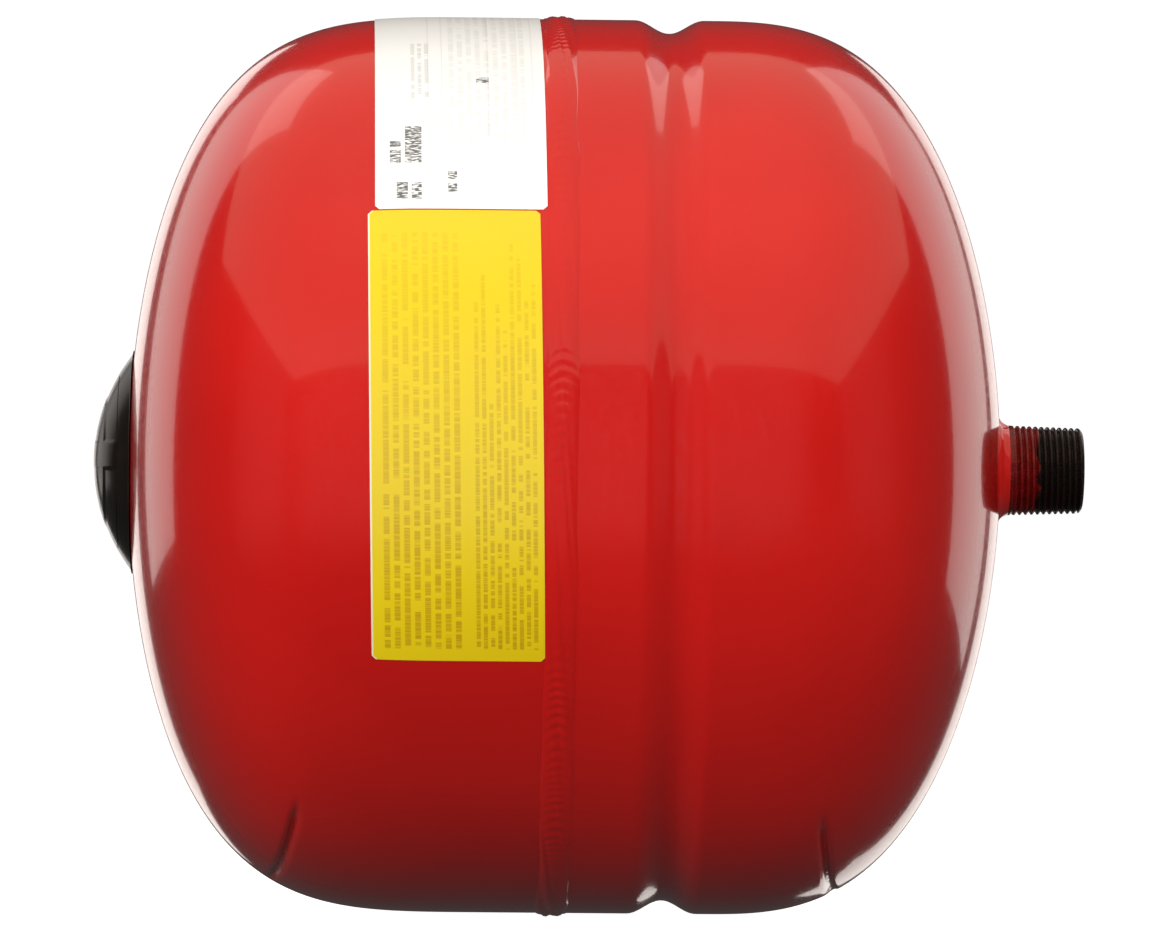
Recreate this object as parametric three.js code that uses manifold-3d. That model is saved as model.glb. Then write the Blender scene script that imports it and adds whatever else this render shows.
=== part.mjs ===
// Heating expansion vessel, 12 litres: a welded steel shell with a rubber diaphragm inside, a threaded
// pipe nipple at the water end, and a gas filling valve under a black cover at the gas end.
//
// Lengths are millimetres. +X runs along the vessel's axis and out of the nipple, +Z is up, and the origin
// is the centre of the nipple's end face, so the whole vessel lies at negative X.

import * as THREE from "three";
import { mergeVertices } from "three/addons/utils/BufferGeometryUtils.js";
import Module from "manifold-3d";

const wasm = await Module();
wasm.setup();

// ---- Driving dimensions ----

const GAP = 0.3;                    // clearance between neighbouring pieces
const SHELL_RADIUS = 135;
const SHELL_WALL = 1.2;
const SHELL_SIDES = 36;             // facets around the shell and everything nested in it
const SMALL_SIDES = 16;             // facets around the valve's pieces

// A dome is a superellipse between its tangent plane and its apex:
// (depth fraction) ^ axial + (radius fraction) ^ radial = 1.
const WATER_DOME = { apexX: -25.3, tangentX: -114, axial: 2.87, radial: 1.9 };
const GAS_DOME = { apexX: -288.5, tangentX: -181.5, axial: 3.76, radial: 2 };
const DOME_STEPS = 10;

const SEAM_X = -159.9;              // the girth seam between the two shells
const SEAM_WIDTH = 2;
const WELD_HALF_WIDTH = 5;
const WELD_HEIGHT = 1.3;
const WELD_SHOULDER_HEIGHT = 0.75;  // the bead's shoulders, as shares of its height and half width
const WELD_SHOULDER_WIDTH = 0.6;

const GROOVE_X = -126.5;            // the rolled groove that clamps the diaphragm
const GROOVE_HALF_WIDTH = 10.5;
const GROOVE_DEPTH = 4;
const GROOVE_STATIONS = [1, 0.66, 0.36, 0, -0.36, -0.66, -1];   // where the wave is sampled

const RING_HALF_WIDTH = 12;         // the channel-section clamp ring behind the groove
const RING_INNER_RADIUS = 126;
const RING_FLANGE_RADIUS = 130.5;
const RING_THICKNESS = 1.5;

const BEAD_HALF_WIDTH = 5.5;        // the diaphragm's bead between the groove and the ring
const BEAD_WAIST_RADIUS = 129.4;
const BEAD_EDGE_RADIUS = 130.6;

const DIAPHRAGM_OFFSET = SHELL_WALL + 1;   // from the shell's outside to the diaphragm
const DIAPHRAGM_THICKNESS = 1.6;
const DIAPHRAGM_LEAD_DROP = 0.2;    // how the wall comes in from the dome and meets the bead
const DIAPHRAGM_BEAD_RISE = 0.9;
const CROWN_RADIUS = 88;            // the part of the diaphragm that moves without bending
const CROWN_PAD_RADIUS = 24;
const CROWN_PAD_THICKNESS = 2;

const THREAD_PITCH = 25.4 / 14;     // R 3/4: 14 threads to the inch, taper 1 in 16 on diameter
const THREAD_GAUGE_RADIUS = 26.441 / 2;
const THREAD_GAUGE_LENGTH = 9.5;
const THREAD_RADIUS_TAPER = 1 / 32;
const THREAD_DEPTH = 1.16;
const THREAD_LENGTH = 22;
const THREAD_ROWS_PER_TURN = 3;
const NIPPLE_BORE_RADIUS = 9.5;
const NIPPLE_CHAMFER = 1.2;
const NIPPLE_SIDES = 24;
const NIPPLE_PLAIN_RADIUS = 13.4;

// The nipple's weld: out from the nipple's side, then along +X from the dome's apex.
const NIPPLE_WELD_SECTION = [[0, 0], [2.4, -0.2], [1, 1.1], [0.3, 2.6], [0, 3.2]];

const RECESS_RADIUS = 28;           // the pocket pressed into the gas dome around the valve
const RECESS_FLOOR_X = -270.5;
const RECESS_LIP_RADIUS = 3;
const RECESS_CORNER_RADIUS = 2;
const RECESS_LIP_STEPS = 3;
const RECESS_CORNER_STEPS = 2;

const BOSS_RADIUS = 6;              // steel boss welded into the pocket's floor
const BOSS_BORE_RADIUS = 4.4;
const BOSS_OUTER_X = -272.4;
const BOSS_INNER_X = -262;
const BOSS_WELD_WIDTH = 2.4;

const VALVE_STEM_RADIUS = 3.85;     // 8V1 tyre-type valve thread
const VALVE_SHANK_RADIUS = 4.1;
const VALVE_HEX_ACROSS_FLATS = 11;
const VALVE_HEX_X = -274.1;
const VALVE_HEX_THICKNESS = 4;
const VALVE_END_X = -287.1;
const VALVE_STEP_X = -280;          // the bore narrows here
const VALVE_WIDE_BORE = 2.6;
const VALVE_NARROW_BORE = 2;
const VALVE_SHANK_END_X = BOSS_INNER_X - 1;
const VALVE_CHAMFER = 0.5;
const BORE_OVERRUN = 1;             // how far the bore's cutter stands out at each end
const O_RING_SECTION_RADIUS = 0.5;

const CORE_OUTER_X = -286.4;
const CORE_NECK_X = -282.2;
const CORE_INNER_X = -270;
const CORE_HEAD_RADIUS = 2.3;
const CORE_NECK_RADIUS = 1.5;
const CORE_SPRING_BORE = 1.6;
const CORE_PIN_BORE = 0.95;
const CORE_SPRING_SEAT_X = CORE_NECK_X - 0.4;
const PIN_RADIUS = 0.6;
const PIN_TIP_X = CORE_OUTER_X - 0.4;
const PIN_COLLAR_RADIUS = 1.2;      // the collar outside holds the spring
const PIN_COLLAR_INNER_X = -285.6;
const PIN_COLLAR_THICKNESS = 0.7;
const PIN_HEAD_RADIUS = 1.4;        // the head inside carries the seal
const PIN_HEAD_X = CORE_INNER_X + 1.8;
const PIN_HEAD_THICKNESS = 0.6;
const CORE_SEAL_THICKNESS = 1.2;
const SPRING_WIRE_RADIUS = 0.15;
const SPRING_COIL_RADIUS = 1.1;
const SPRING_TURNS = 3;

const DUST_CAP_RADIUS = 5;
const DUST_CAP_BORE = 4.15;
const DUST_CAP_OPEN_X = -278.4;
const DUST_CAP_TOP_X = -288.6;
const DUST_CAP_END_X = -289.7;
const DUST_CAP_EDGE = 0.8;

const COVER_RADIUS = 33.8;          // the black cover over the pocket
const COVER_APEX_X = -299;
const COVER_RIM_X = -287;
const COVER_THICKNESS = 1.8;
const COVER_SEAT_RADIUS = 30.3;     // the rim's flat seat runs from here out to the edge
const COVER_LEG_RADIUS = 27.3;
const COVER_LEG_THICKNESS = 2.2;
const COVER_BEAD_HEIGHT = 0.3;
const COVER_LEG_ROOT_X = -291;
const COVER_LEG_END_X = -277;
const COVER_LEG_GAP = 16;           // width of the slots between the four legs
const COVER_LEG_CHAMFER = 0.5;
const COVER_BEAD_X = COVER_LEG_END_X - 2;
const COVER_BEAD_LENGTH = 2;
const COVER_OUTER_STEPS = 7;
const COVER_INNER_STEPS = 5;

const LABEL_WIDTH = 49.5;           // labels wrap around the shell just left of the weld
const LABEL_RIGHT_X = -165.3;
const LABEL_THICKNESS = 0.25;
const LABEL_HALF_STEPS = 7;
const INSTRUCTION_LABEL_ANGLES = [-24, 33];   // degrees up from the horizontal that faces -Y
const RATING_LABEL_ANGLES = [33.8, 97];

// ---- Materials ----

function material(color, roughness, metalness) {
  return new THREE.MeshStandardMaterial({ color, roughness, metalness });
}

const redPaint = material(0xc5201b, 0.22, 0);
const blackThread = material(0x17130f, 0.4, 0.6);
const bareSteel = material(0x8f9296, 0.4, 1);
const weldSteel = material(0x6f6a66, 0.6, 0.8);
const blackPlastic = material(0x14110f, 0.3, 0);
const blackRubber = material(0x1b1b1c, 0.8, 0);
const brass = material(0xb99545, 0.35, 1);
const whiteLabel = material(0xf2f1ee, 0.4, 0);
const yellowLabel = material(0xecd51c, 0.4, 0);

// ---- Shape helpers: a profile point is (radius, axial position) ----

function point(radius, x) {
  return new THREE.Vector2(radius, x);
}

// Spins a profile about the axis. The profile closes on itself unless both of its ends lie on the axis.
function lathe(profile, sides) {
  const points = [...profile];
  const open = points[0].x === 0 && points.at(-1).x === 0;
  if (!open) {
    points.push(points[0].clone());
  }
  if (THREE.ShapeUtils.area(points) < 0) {
    points.reverse();
  }
  return new THREE.LatheGeometry(points, sides);
}

// Moves a path sideways towards the inside of the vessel. The path runs towards -X or towards the axis.
function offsetPath(path, distance) {
  return path.map((here, index) => {
    const arriving = here.clone().sub(path[index - 1] ?? here).normalize();
    const leaving = (path[index + 1] ?? here).clone().sub(here).normalize();
    const along = arriving.clone().add(leaving).normalize();
    const mitre = distance / Math.max(along.dot(arriving), along.dot(leaving));
    return point(here.x + along.y * mitre, here.y - along.x * mitre);
  });
}

// A wall of even thickness inside an outer path.
function wallProfile(outerPath, thickness) {
  return [...outerPath, ...offsetPath(outerPath, thickness).reverse()];
}

function domeAngle(dome, radius) {
  return Math.asin((radius / SHELL_RADIUS) ** (dome.radial / 2));
}

// Points on a dome from one radius to another.
function domePath(dome, fromRadius, toRadius, steps) {
  const from = domeAngle(dome, fromRadius);
  const to = domeAngle(dome, toRadius);
  const depth = dome.apexX - dome.tangentX;
  const path = [];
  for (let step = 0; step <= steps; step += 1) {
    const angle = from + ((to - from) * step) / steps;
    const radius = SHELL_RADIUS * Math.sin(angle) ** (2 / dome.radial);
    const fraction = Math.max(Math.cos(angle), 0) ** (2 / dome.axial);
    path.push(point(radius, dome.tangentX + depth * fraction));
  }
  return path;
}

function arcPath(centre, radius, fromDegrees, toDegrees, steps) {
  const path = [];
  for (let step = 0; step <= steps; step += 1) {
    const degrees = fromDegrees + ((toDegrees - fromDegrees) * step) / steps;
    const angle = THREE.MathUtils.degToRad(degrees);
    path.push(point(centre.x + radius * Math.cos(angle), centre.y + radius * Math.sin(angle)));
  }
  return path;
}

function tube(innerRadius, outerRadius, fromX, toX, sides) {
  const profile = [
    point(innerRadius, fromX),
    point(outerRadius, fromX),
    point(outerRadius, toX),
    point(innerRadius, toX),
  ];
  return lathe(profile, sides);
}

function disc(radius, fromX, toX, sides) {
  return lathe([point(0, fromX), point(radius, fromX), point(radius, toX), point(0, toX)], sides);
}

// ---- Joining and cutting closed meshes ----

function toSolid(geometry) {
  const bare = geometry.clone();
  bare.deleteAttribute("normal");
  bare.deleteAttribute("uv");
  const merged = mergeVertices(bare, 1e-4);
  const vertProperties = new Float32Array(merged.attributes.position.array);
  const triVerts = new Uint32Array(merged.index.array);
  return new wasm.Manifold(new wasm.Mesh({ numProp: 3, vertProperties, triVerts }));
}

function toGeometry(solid) {
  const mesh = solid.getMesh();
  const geometry = new THREE.BufferGeometry();
  geometry.setAttribute("position", new THREE.BufferAttribute(mesh.vertProperties, 3));
  geometry.setIndex(new THREE.BufferAttribute(mesh.triVerts, 1));
  geometry.computeVertexNormals();
  return geometry;
}

// ---- Shells and their seam ----

function gasSideShell() {
  const lipCentre = point(RECESS_RADIUS + RECESS_LIP_RADIUS, 0);
  const dome = domePath(GAS_DOME, SHELL_RADIUS, lipCentre.x, DOME_STEPS);
  lipCentre.y = dome.at(-1).y + RECESS_LIP_RADIUS;
  const cornerCentre = point(RECESS_RADIUS - RECESS_CORNER_RADIUS, RECESS_FLOOR_X - RECESS_CORNER_RADIUS);
  const outside = [
    point(SHELL_RADIUS, SEAM_X - SEAM_WIDTH / 2),
    ...dome,
    ...arcPath(lipCentre, RECESS_LIP_RADIUS, 270, 180, RECESS_LIP_STEPS).slice(1),
    ...arcPath(cornerCentre, RECESS_CORNER_RADIUS, 0, 90, RECESS_CORNER_STEPS),
    point(BOSS_RADIUS + GAP, RECESS_FLOOR_X),
  ];
  return lathe(wallProfile(outside, SHELL_WALL), SHELL_SIDES);
}

function waterSideShell() {
  const groove = [];
  for (const along of GROOVE_STATIONS) {
    const depth = (GROOVE_DEPTH * (1 + Math.cos(Math.PI * along))) / 2;
    groove.push(point(SHELL_RADIUS - depth, GROOVE_X + GROOVE_HALF_WIDTH * along));
  }
  const outside = [
    ...domePath(WATER_DOME, NIPPLE_PLAIN_RADIUS + GAP, SHELL_RADIUS, DOME_STEPS),
    ...groove,
    point(SHELL_RADIUS, SEAM_X + SEAM_WIDTH / 2),
  ];
  return lathe(wallProfile(outside, SHELL_WALL), SHELL_SIDES);
}

// A bead with a low crown outside the seam and a root that reaches down into it.
function girthWeld() {
  const foot = SHELL_RADIUS + GAP;
  const crown = SHELL_RADIUS + WELD_HEIGHT;
  const shoulder = SHELL_RADIUS + WELD_HEIGHT * WELD_SHOULDER_HEIGHT;
  const shoulderHalf = WELD_HALF_WIDTH * WELD_SHOULDER_WIDTH;
  const rootHalf = SEAM_WIDTH / 2 - GAP;
  const rootRadius = SHELL_RADIUS - SHELL_WALL + GAP;
  const profile = [
    point(foot, SEAM_X - WELD_HALF_WIDTH),
    point(shoulder, SEAM_X - shoulderHalf),
    point(crown, SEAM_X),
    point(shoulder, SEAM_X + shoulderHalf),
    point(foot, SEAM_X + WELD_HALF_WIDTH),
    point(foot, SEAM_X + rootHalf),
    point(rootRadius, SEAM_X + rootHalf),
    point(rootRadius, SEAM_X - rootHalf),
    point(foot, SEAM_X - rootHalf),
  ];
  return lathe(profile, SHELL_SIDES);
}

// ---- Diaphragm and its clamp ----

// A channel open outwards, so that the groove presses the bead into it.
function clampRing() {
  const floorRadius = RING_INNER_RADIUS + RING_THICKNESS;
  const outerHalf = RING_HALF_WIDTH;
  const innerHalf = RING_HALF_WIDTH - RING_THICKNESS;
  const profile = [
    point(RING_INNER_RADIUS, GROOVE_X - outerHalf),
    point(RING_FLANGE_RADIUS, GROOVE_X - outerHalf),
    point(RING_FLANGE_RADIUS, GROOVE_X - innerHalf),
    point(floorRadius, GROOVE_X - innerHalf),
    point(floorRadius, GROOVE_X + innerHalf),
    point(RING_FLANGE_RADIUS, GROOVE_X + innerHalf),
    point(RING_FLANGE_RADIUS, GROOVE_X + outerHalf),
    point(RING_INNER_RADIUS, GROOVE_X + outerHalf),
  ];
  return lathe(profile, SHELL_SIDES);
}

function diaphragmBead() {
  const seatRadius = RING_INNER_RADIUS + RING_THICKNESS + GAP;
  const profile = [
    point(seatRadius, GROOVE_X - BEAD_HALF_WIDTH),
    point(BEAD_EDGE_RADIUS, GROOVE_X - BEAD_HALF_WIDTH),
    point(BEAD_WAIST_RADIUS, GROOVE_X),
    point(BEAD_EDGE_RADIUS, GROOVE_X + BEAD_HALF_WIDTH),
    point(seatRadius, GROOVE_X + BEAD_HALF_WIDTH),
  ];
  return lathe(profile, SHELL_SIDES);
}

// The bending part: out of the channel over the ring's flange, then along the inside of the water dome.
function diaphragmWall() {
  const dome = domePath(WATER_DOME, CROWN_RADIUS + GAP, SHELL_RADIUS, DOME_STEPS / 2);
  const outside = [
    ...offsetPath(dome, DIAPHRAGM_OFFSET),
    point(SHELL_RADIUS - DIAPHRAGM_OFFSET - DIAPHRAGM_LEAD_DROP, GROOVE_X + GROOVE_HALF_WIDTH),
    point(BEAD_EDGE_RADIUS + DIAPHRAGM_BEAD_RISE, GROOVE_X + BEAD_HALF_WIDTH + GAP),
  ];
  return lathe(wallProfile(outside, DIAPHRAGM_THICKNESS), SHELL_SIDES);
}

// The part that travels whole, with a thicker pad over the nipple's bore.
function diaphragmCrown() {
  const dome = domePath(WATER_DOME, 0, CROWN_RADIUS - GAP, DOME_STEPS / 2);
  const outside = offsetPath(dome, DIAPHRAGM_OFFSET);
  const inside = offsetPath(dome, DIAPHRAGM_OFFSET + DIAPHRAGM_THICKNESS);
  outside[0].x = 0;
  const padEdge = inside.findIndex((place) => place.x > CROWN_PAD_RADIUS);
  const padX = inside[padEdge].y - CROWN_PAD_THICKNESS;
  const profile = [
    ...outside,
    ...inside.slice(padEdge).reverse(),
    point(CROWN_PAD_RADIUS, inside[padEdge].y + CROWN_PAD_THICKNESS / 2),
    point(CROWN_PAD_RADIUS - CROWN_PAD_THICKNESS / 2, padX),
    point(0, padX),
  ];
  return lathe(profile, SHELL_SIDES);
}

// ---- Pipe nipple ----

function threadCrestRadius(x) {
  return THREAD_GAUGE_RADIUS + (-x - THREAD_GAUGE_LENGTH) * THREAD_RADIUS_TAPER;
}

// A tapered tube whose rows are lowered by a helical triangle wave, one turn for each pitch.
function waterNipple() {
  const innerX = WATER_DOME.apexX - SHELL_WALL - GAP;
  const rowStep = THREAD_PITCH / THREAD_ROWS_PER_TURN;
  const profile = [point(NIPPLE_BORE_RADIUS, innerX), point(NIPPLE_PLAIN_RADIUS, innerX)];
  for (let x = -THREAD_LENGTH; x < -NIPPLE_CHAMFER; x += rowStep) {
    profile.push(point(threadCrestRadius(x), x));
  }
  profile.push(point(threadCrestRadius(0) - NIPPLE_CHAMFER, 0), point(NIPPLE_BORE_RADIUS, 0));
  const geometry = lathe(profile, NIPPLE_SIDES);
  const position = geometry.attributes.position;
  const wallMiddle = (NIPPLE_BORE_RADIUS + NIPPLE_PLAIN_RADIUS) / 2;
  for (let index = 0; index < position.count; index += 1) {
    const across = position.getX(index);
    const up = position.getZ(index);
    const x = position.getY(index);
    const radius = Math.hypot(across, up);
    const threaded = x > -THREAD_LENGTH && x < -NIPPLE_CHAMFER && radius > wallMiddle;
    if (threaded) {
      const turns = x / THREAD_PITCH - Math.atan2(across, up) / (2 * Math.PI);
      const wave = Math.abs(2 * (turns - Math.floor(turns)) - 1);
      const scale = (radius - THREAD_DEPTH * wave) / radius;
      position.setX(index, across * scale);
      position.setZ(index, up * scale);
    }
  }
  return geometry;
}

// A concave fillet between the nipple and the water dome.
function nippleWeld() {
  const inner = NIPPLE_PLAIN_RADIUS + GAP;
  const profile = NIPPLE_WELD_SECTION.map(([out, along]) => point(inner + out, WATER_DOME.apexX + along));
  return lathe(profile, NIPPLE_SIDES);
}

// ---- Gas valve ----

function valveBoss() {
  return tube(BOSS_BORE_RADIUS, BOSS_RADIUS, BOSS_OUTER_X, BOSS_INNER_X, SMALL_SIDES);
}

function valveBossWeld() {
  const inner = BOSS_RADIUS + GAP;
  const seatX = RECESS_FLOOR_X - GAP;
  const profile = [point(inner, seatX), point(inner + BOSS_WELD_WIDTH, seatX), point(inner, BOSS_OUTER_X)];
  return lathe(profile, SMALL_SIDES);
}

// Shank, hexagon and stem in one brass turning, bored through with a step for the valve core.
function valveBody() {
  const hexEndX = VALVE_HEX_X - VALVE_HEX_THICKNESS;
  const turned = lathe([
    point(0, VALVE_SHANK_END_X),
    point(VALVE_SHANK_RADIUS, VALVE_SHANK_END_X),
    point(VALVE_SHANK_RADIUS, VALVE_HEX_X - VALVE_CHAMFER),
    point(VALVE_STEM_RADIUS, hexEndX - VALVE_CHAMFER),
    point(VALVE_STEM_RADIUS, VALVE_END_X + VALVE_CHAMFER),
    point(VALVE_STEM_RADIUS - VALVE_CHAMFER, VALVE_END_X),
    point(0, VALVE_END_X),
  ], SMALL_SIDES);
  const hexRadius = VALVE_HEX_ACROSS_FLATS / Math.sqrt(3);
  const hexagon = new THREE.CylinderGeometry(hexRadius, hexRadius, VALVE_HEX_THICKNESS, 6);
  hexagon.translate(0, VALVE_HEX_X - VALVE_HEX_THICKNESS / 2, 0);
  const bore = lathe([
    point(0, VALVE_SHANK_END_X + BORE_OVERRUN),
    point(VALVE_NARROW_BORE, VALVE_SHANK_END_X + BORE_OVERRUN),
    point(VALVE_NARROW_BORE, VALVE_STEP_X),
    point(VALVE_WIDE_BORE, VALVE_STEP_X),
    point(VALVE_WIDE_BORE, VALVE_END_X - BORE_OVERRUN),
    point(0, VALVE_END_X - BORE_OVERRUN),
  ], SMALL_SIDES);
  return toGeometry(toSolid(turned).add(toSolid(hexagon)).subtract(toSolid(bore)));
}

function valveORing() {
  const middleRadius = VALVE_SHANK_RADIUS + GAP + O_RING_SECTION_RADIUS;
  const middle = point(middleRadius, (BOSS_OUTER_X + VALVE_HEX_X) / 2);
  const section = arcPath(middle, O_RING_SECTION_RADIUS, 0, 360, SMALL_SIDES / 2);
  return lathe(section.slice(0, -1), SMALL_SIDES);
}

function valveCoreHousing() {
  const profile = [
    point(CORE_SPRING_BORE, CORE_OUTER_X),
    point(CORE_HEAD_RADIUS, CORE_OUTER_X),
    point(CORE_HEAD_RADIUS, CORE_NECK_X),
    point(CORE_NECK_RADIUS, CORE_NECK_X),
    point(CORE_NECK_RADIUS, CORE_INNER_X),
    point(CORE_PIN_BORE, CORE_INNER_X),
    point(CORE_PIN_BORE, CORE_SPRING_SEAT_X),
    point(CORE_SPRING_BORE, CORE_SPRING_SEAT_X),
  ];
  return lathe(profile, SMALL_SIDES);
}

function valveCoreGasket() {
  return tube(CORE_NECK_RADIUS + GAP, CORE_HEAD_RADIUS, CORE_NECK_X + GAP, VALVE_STEP_X - GAP, SMALL_SIDES);
}

// A pin with a collar at the outer end for the spring and a head at the inner end for the seal.
function valveCorePin() {
  const headEndX = PIN_HEAD_X + PIN_HEAD_THICKNESS;
  const collarOuterX = PIN_COLLAR_INNER_X - PIN_COLLAR_THICKNESS;
  const profile = [
    point(0, headEndX),
    point(PIN_HEAD_RADIUS, headEndX),
    point(PIN_HEAD_RADIUS, PIN_HEAD_X),
    point(PIN_RADIUS, PIN_HEAD_X),
    point(PIN_RADIUS, PIN_COLLAR_INNER_X),
    point(PIN_COLLAR_RADIUS, PIN_COLLAR_INNER_X),
    point(PIN_COLLAR_RADIUS, collarOuterX),
    point(PIN_RADIUS, collarOuterX),
    point(PIN_RADIUS, PIN_TIP_X),
    point(0, PIN_TIP_X),
  ];
  return lathe(profile, SMALL_SIDES);
}

function valveCoreSeal() {
  const outerX = CORE_INNER_X + GAP;
  return tube(PIN_RADIUS + GAP, CORE_NECK_RADIUS, outerX, outerX + CORE_SEAL_THICKNESS, SMALL_SIDES);
}

class Helix extends THREE.Curve {
  constructor(radius, turns, fromX, toX) {
    super();
    this.radius = radius;
    this.turns = turns;
    this.fromX = fromX;
    this.toX = toX;
  }

  getPoint(fraction, target = new THREE.Vector3()) {
    const angle = fraction * this.turns * 2 * Math.PI;
    const x = THREE.MathUtils.lerp(this.fromX, this.toX, fraction);
    return target.set(this.radius * Math.sin(angle), x, this.radius * Math.cos(angle));
  }
}

function valveCoreSpring() {
  const stepsPerTurn = 12;
  const wireHalfSides = 3;
  const wire = new THREE.Shape();
  wire.absarc(0, 0, SPRING_WIRE_RADIUS, 0, 2 * Math.PI);
  const innerX = CORE_SPRING_SEAT_X - GAP - SPRING_WIRE_RADIUS;
  const outerX = PIN_COLLAR_INNER_X + GAP + SPRING_WIRE_RADIUS;
  const path = new Helix(SPRING_COIL_RADIUS, SPRING_TURNS, innerX, outerX);
  const options = { steps: SPRING_TURNS * stepsPerTurn, curveSegments: wireHalfSides, bevelEnabled: false };
  return new THREE.ExtrudeGeometry(wire, { ...options, extrudePath: path });
}

function dustCap() {
  const profile = [
    point(0, DUST_CAP_TOP_X),
    point(DUST_CAP_BORE, DUST_CAP_TOP_X),
    point(DUST_CAP_BORE, DUST_CAP_OPEN_X),
    point(DUST_CAP_RADIUS, DUST_CAP_OPEN_X),
    point(DUST_CAP_RADIUS, DUST_CAP_END_X + DUST_CAP_EDGE),
    point(DUST_CAP_RADIUS - DUST_CAP_EDGE, DUST_CAP_END_X),
    point(0, DUST_CAP_END_X),
  ];
  return lathe(profile, SMALL_SIDES);
}

function dustCapSeal() {
  return disc(DUST_CAP_BORE - GAP, VALVE_END_X - GAP, DUST_CAP_TOP_X + GAP, SMALL_SIDES);
}

// ---- Cover ----

// A low domed cover with four legs, whose beads grip the pocket's wall.
function protectiveCap() {
  const sagitta = COVER_RIM_X - COVER_APEX_X;
  const sphereRadius = (COVER_RADIUS ** 2 + sagitta ** 2) / (2 * sagitta);
  const innerRadius = sphereRadius - COVER_THICKNESS;
  const centre = point(0, COVER_APEX_X + sphereRadius);
  const outerSpan = THREE.MathUtils.radToDeg(Math.asin(COVER_RADIUS / sphereRadius));
  const innerSpan = THREE.MathUtils.radToDeg(Math.asin(COVER_SEAT_RADIUS / innerRadius));
  const inside = arcPath(centre, innerRadius, 270, 270 + innerSpan, COVER_INNER_STEPS);
  const outside = arcPath(centre, sphereRadius, 270 + outerSpan, 270, COVER_OUTER_STEPS);
  inside[0].x = 0;
  outside.at(-1).x = 0;
  const dome = lathe([...inside, ...outside], SHELL_SIDES);
  return toGeometry(toSolid(dome).add(coverLegs()));
}

// A ring cut into four legs by two crossing slots.
function coverLegs() {
  const innerRadius = COVER_LEG_RADIUS - COVER_LEG_THICKNESS;
  const ring = lathe([
    point(innerRadius, COVER_LEG_ROOT_X),
    point(innerRadius, COVER_LEG_END_X),
    point(COVER_LEG_RADIUS - COVER_LEG_CHAMFER, COVER_LEG_END_X),
    point(COVER_LEG_RADIUS + COVER_BEAD_HEIGHT, COVER_BEAD_X),
    point(COVER_LEG_RADIUS, COVER_BEAD_X - COVER_BEAD_LENGTH),
    point(COVER_LEG_RADIUS, COVER_LEG_ROOT_X),
  ], SHELL_SIDES);
  const slotLength = COVER_RADIUS * 2;
  const slotDepth = (COVER_LEG_END_X - COVER_LEG_ROOT_X) * 3;
  const slotAcross = new THREE.BoxGeometry(slotLength, slotDepth, COVER_LEG_GAP);
  const slotUp = new THREE.BoxGeometry(COVER_LEG_GAP, slotDepth, slotLength);
  slotAcross.translate(0, COVER_LEG_END_X, 0);
  slotUp.translate(0, COVER_LEG_END_X, 0);
  return toSolid(ring).subtract(toSolid(slotAcross)).subtract(toSolid(slotUp));
}

// ---- Labels ----

// Maps a shape's x to -Y, its y to +Z and its extrusion to -X.
const AROUND_AXIS = new THREE.Matrix4().makeBasis(
  new THREE.Vector3(0, -1, 0),
  new THREE.Vector3(0, 0, 1),
  new THREE.Vector3(-1, 0, 0),
);

function wrappedLabel([fromDegrees, toDegrees]) {
  const from = THREE.MathUtils.degToRad(fromDegrees);
  const to = THREE.MathUtils.degToRad(toDegrees);
  const backRadius = SHELL_RADIUS + GAP;
  const sheet = new THREE.Shape();
  sheet.absarc(0, 0, backRadius + LABEL_THICKNESS, from, to, false);
  sheet.absarc(0, 0, backRadius, to, from, true);
  const options = { depth: LABEL_WIDTH, bevelEnabled: false, curveSegments: LABEL_HALF_STEPS };
  const geometry = new THREE.ExtrudeGeometry(sheet, options);
  return geometry.applyMatrix4(AROUND_AXIS);
}

// ---- Assembly ----

function named(name, geometry, surface) {
  const mesh = new THREE.Mesh(geometry, surface);
  mesh.name = name;
  return mesh;
}

const vessel = new THREE.Group();

// Everything turned is drawn about +Y; this group lays that axis along +X.
const turned = new THREE.Group();
turned.rotation.z = -Math.PI / 2;
turned.add(
  named("gas_side_shell", gasSideShell(), redPaint),
  named("water_side_shell", waterSideShell(), redPaint),
  named("girth_weld", girthWeld(), redPaint),
  named("clamp_ring", clampRing(), bareSteel),
  named("diaphragm_bead", diaphragmBead(), blackRubber),
  named("diaphragm_wall", diaphragmWall(), blackRubber),
  named("diaphragm_crown", diaphragmCrown(), blackRubber),
  named("water_nipple", waterNipple(), blackThread),
  named("nipple_weld", nippleWeld(), redPaint),
  named("valve_boss", valveBoss(), bareSteel),
  named("valve_boss_weld", valveBossWeld(), weldSteel),
  named("valve_body", valveBody(), brass),
  named("valve_o_ring", valveORing(), blackRubber),
  named("valve_core_housing", valveCoreHousing(), brass),
  named("valve_core_gasket", valveCoreGasket(), blackRubber),
  named("valve_core_pin", valveCorePin(), brass),
  named("valve_core_seal", valveCoreSeal(), blackRubber),
  named("valve_core_spring", valveCoreSpring(), bareSteel),
  named("dust_cap", dustCap(), blackPlastic),
  named("dust_cap_seal", dustCapSeal(), blackRubber),
  named("protective_cap", protectiveCap(), blackPlastic),
);
vessel.add(turned);

const labels = new THREE.Group();
labels.position.x = LABEL_RIGHT_X;
labels.add(
  named("rating_label", wrappedLabel(RATING_LABEL_ANGLES), whiteLabel),
  named("instruction_label", wrappedLabel(INSTRUCTION_LABEL_ANGLES), yellowLabel),
);
vessel.add(labels);

export default vessel;
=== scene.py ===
import math

import bmesh
import bpy
import numpy as np
from mathutils import Matrix, Vector


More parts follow.
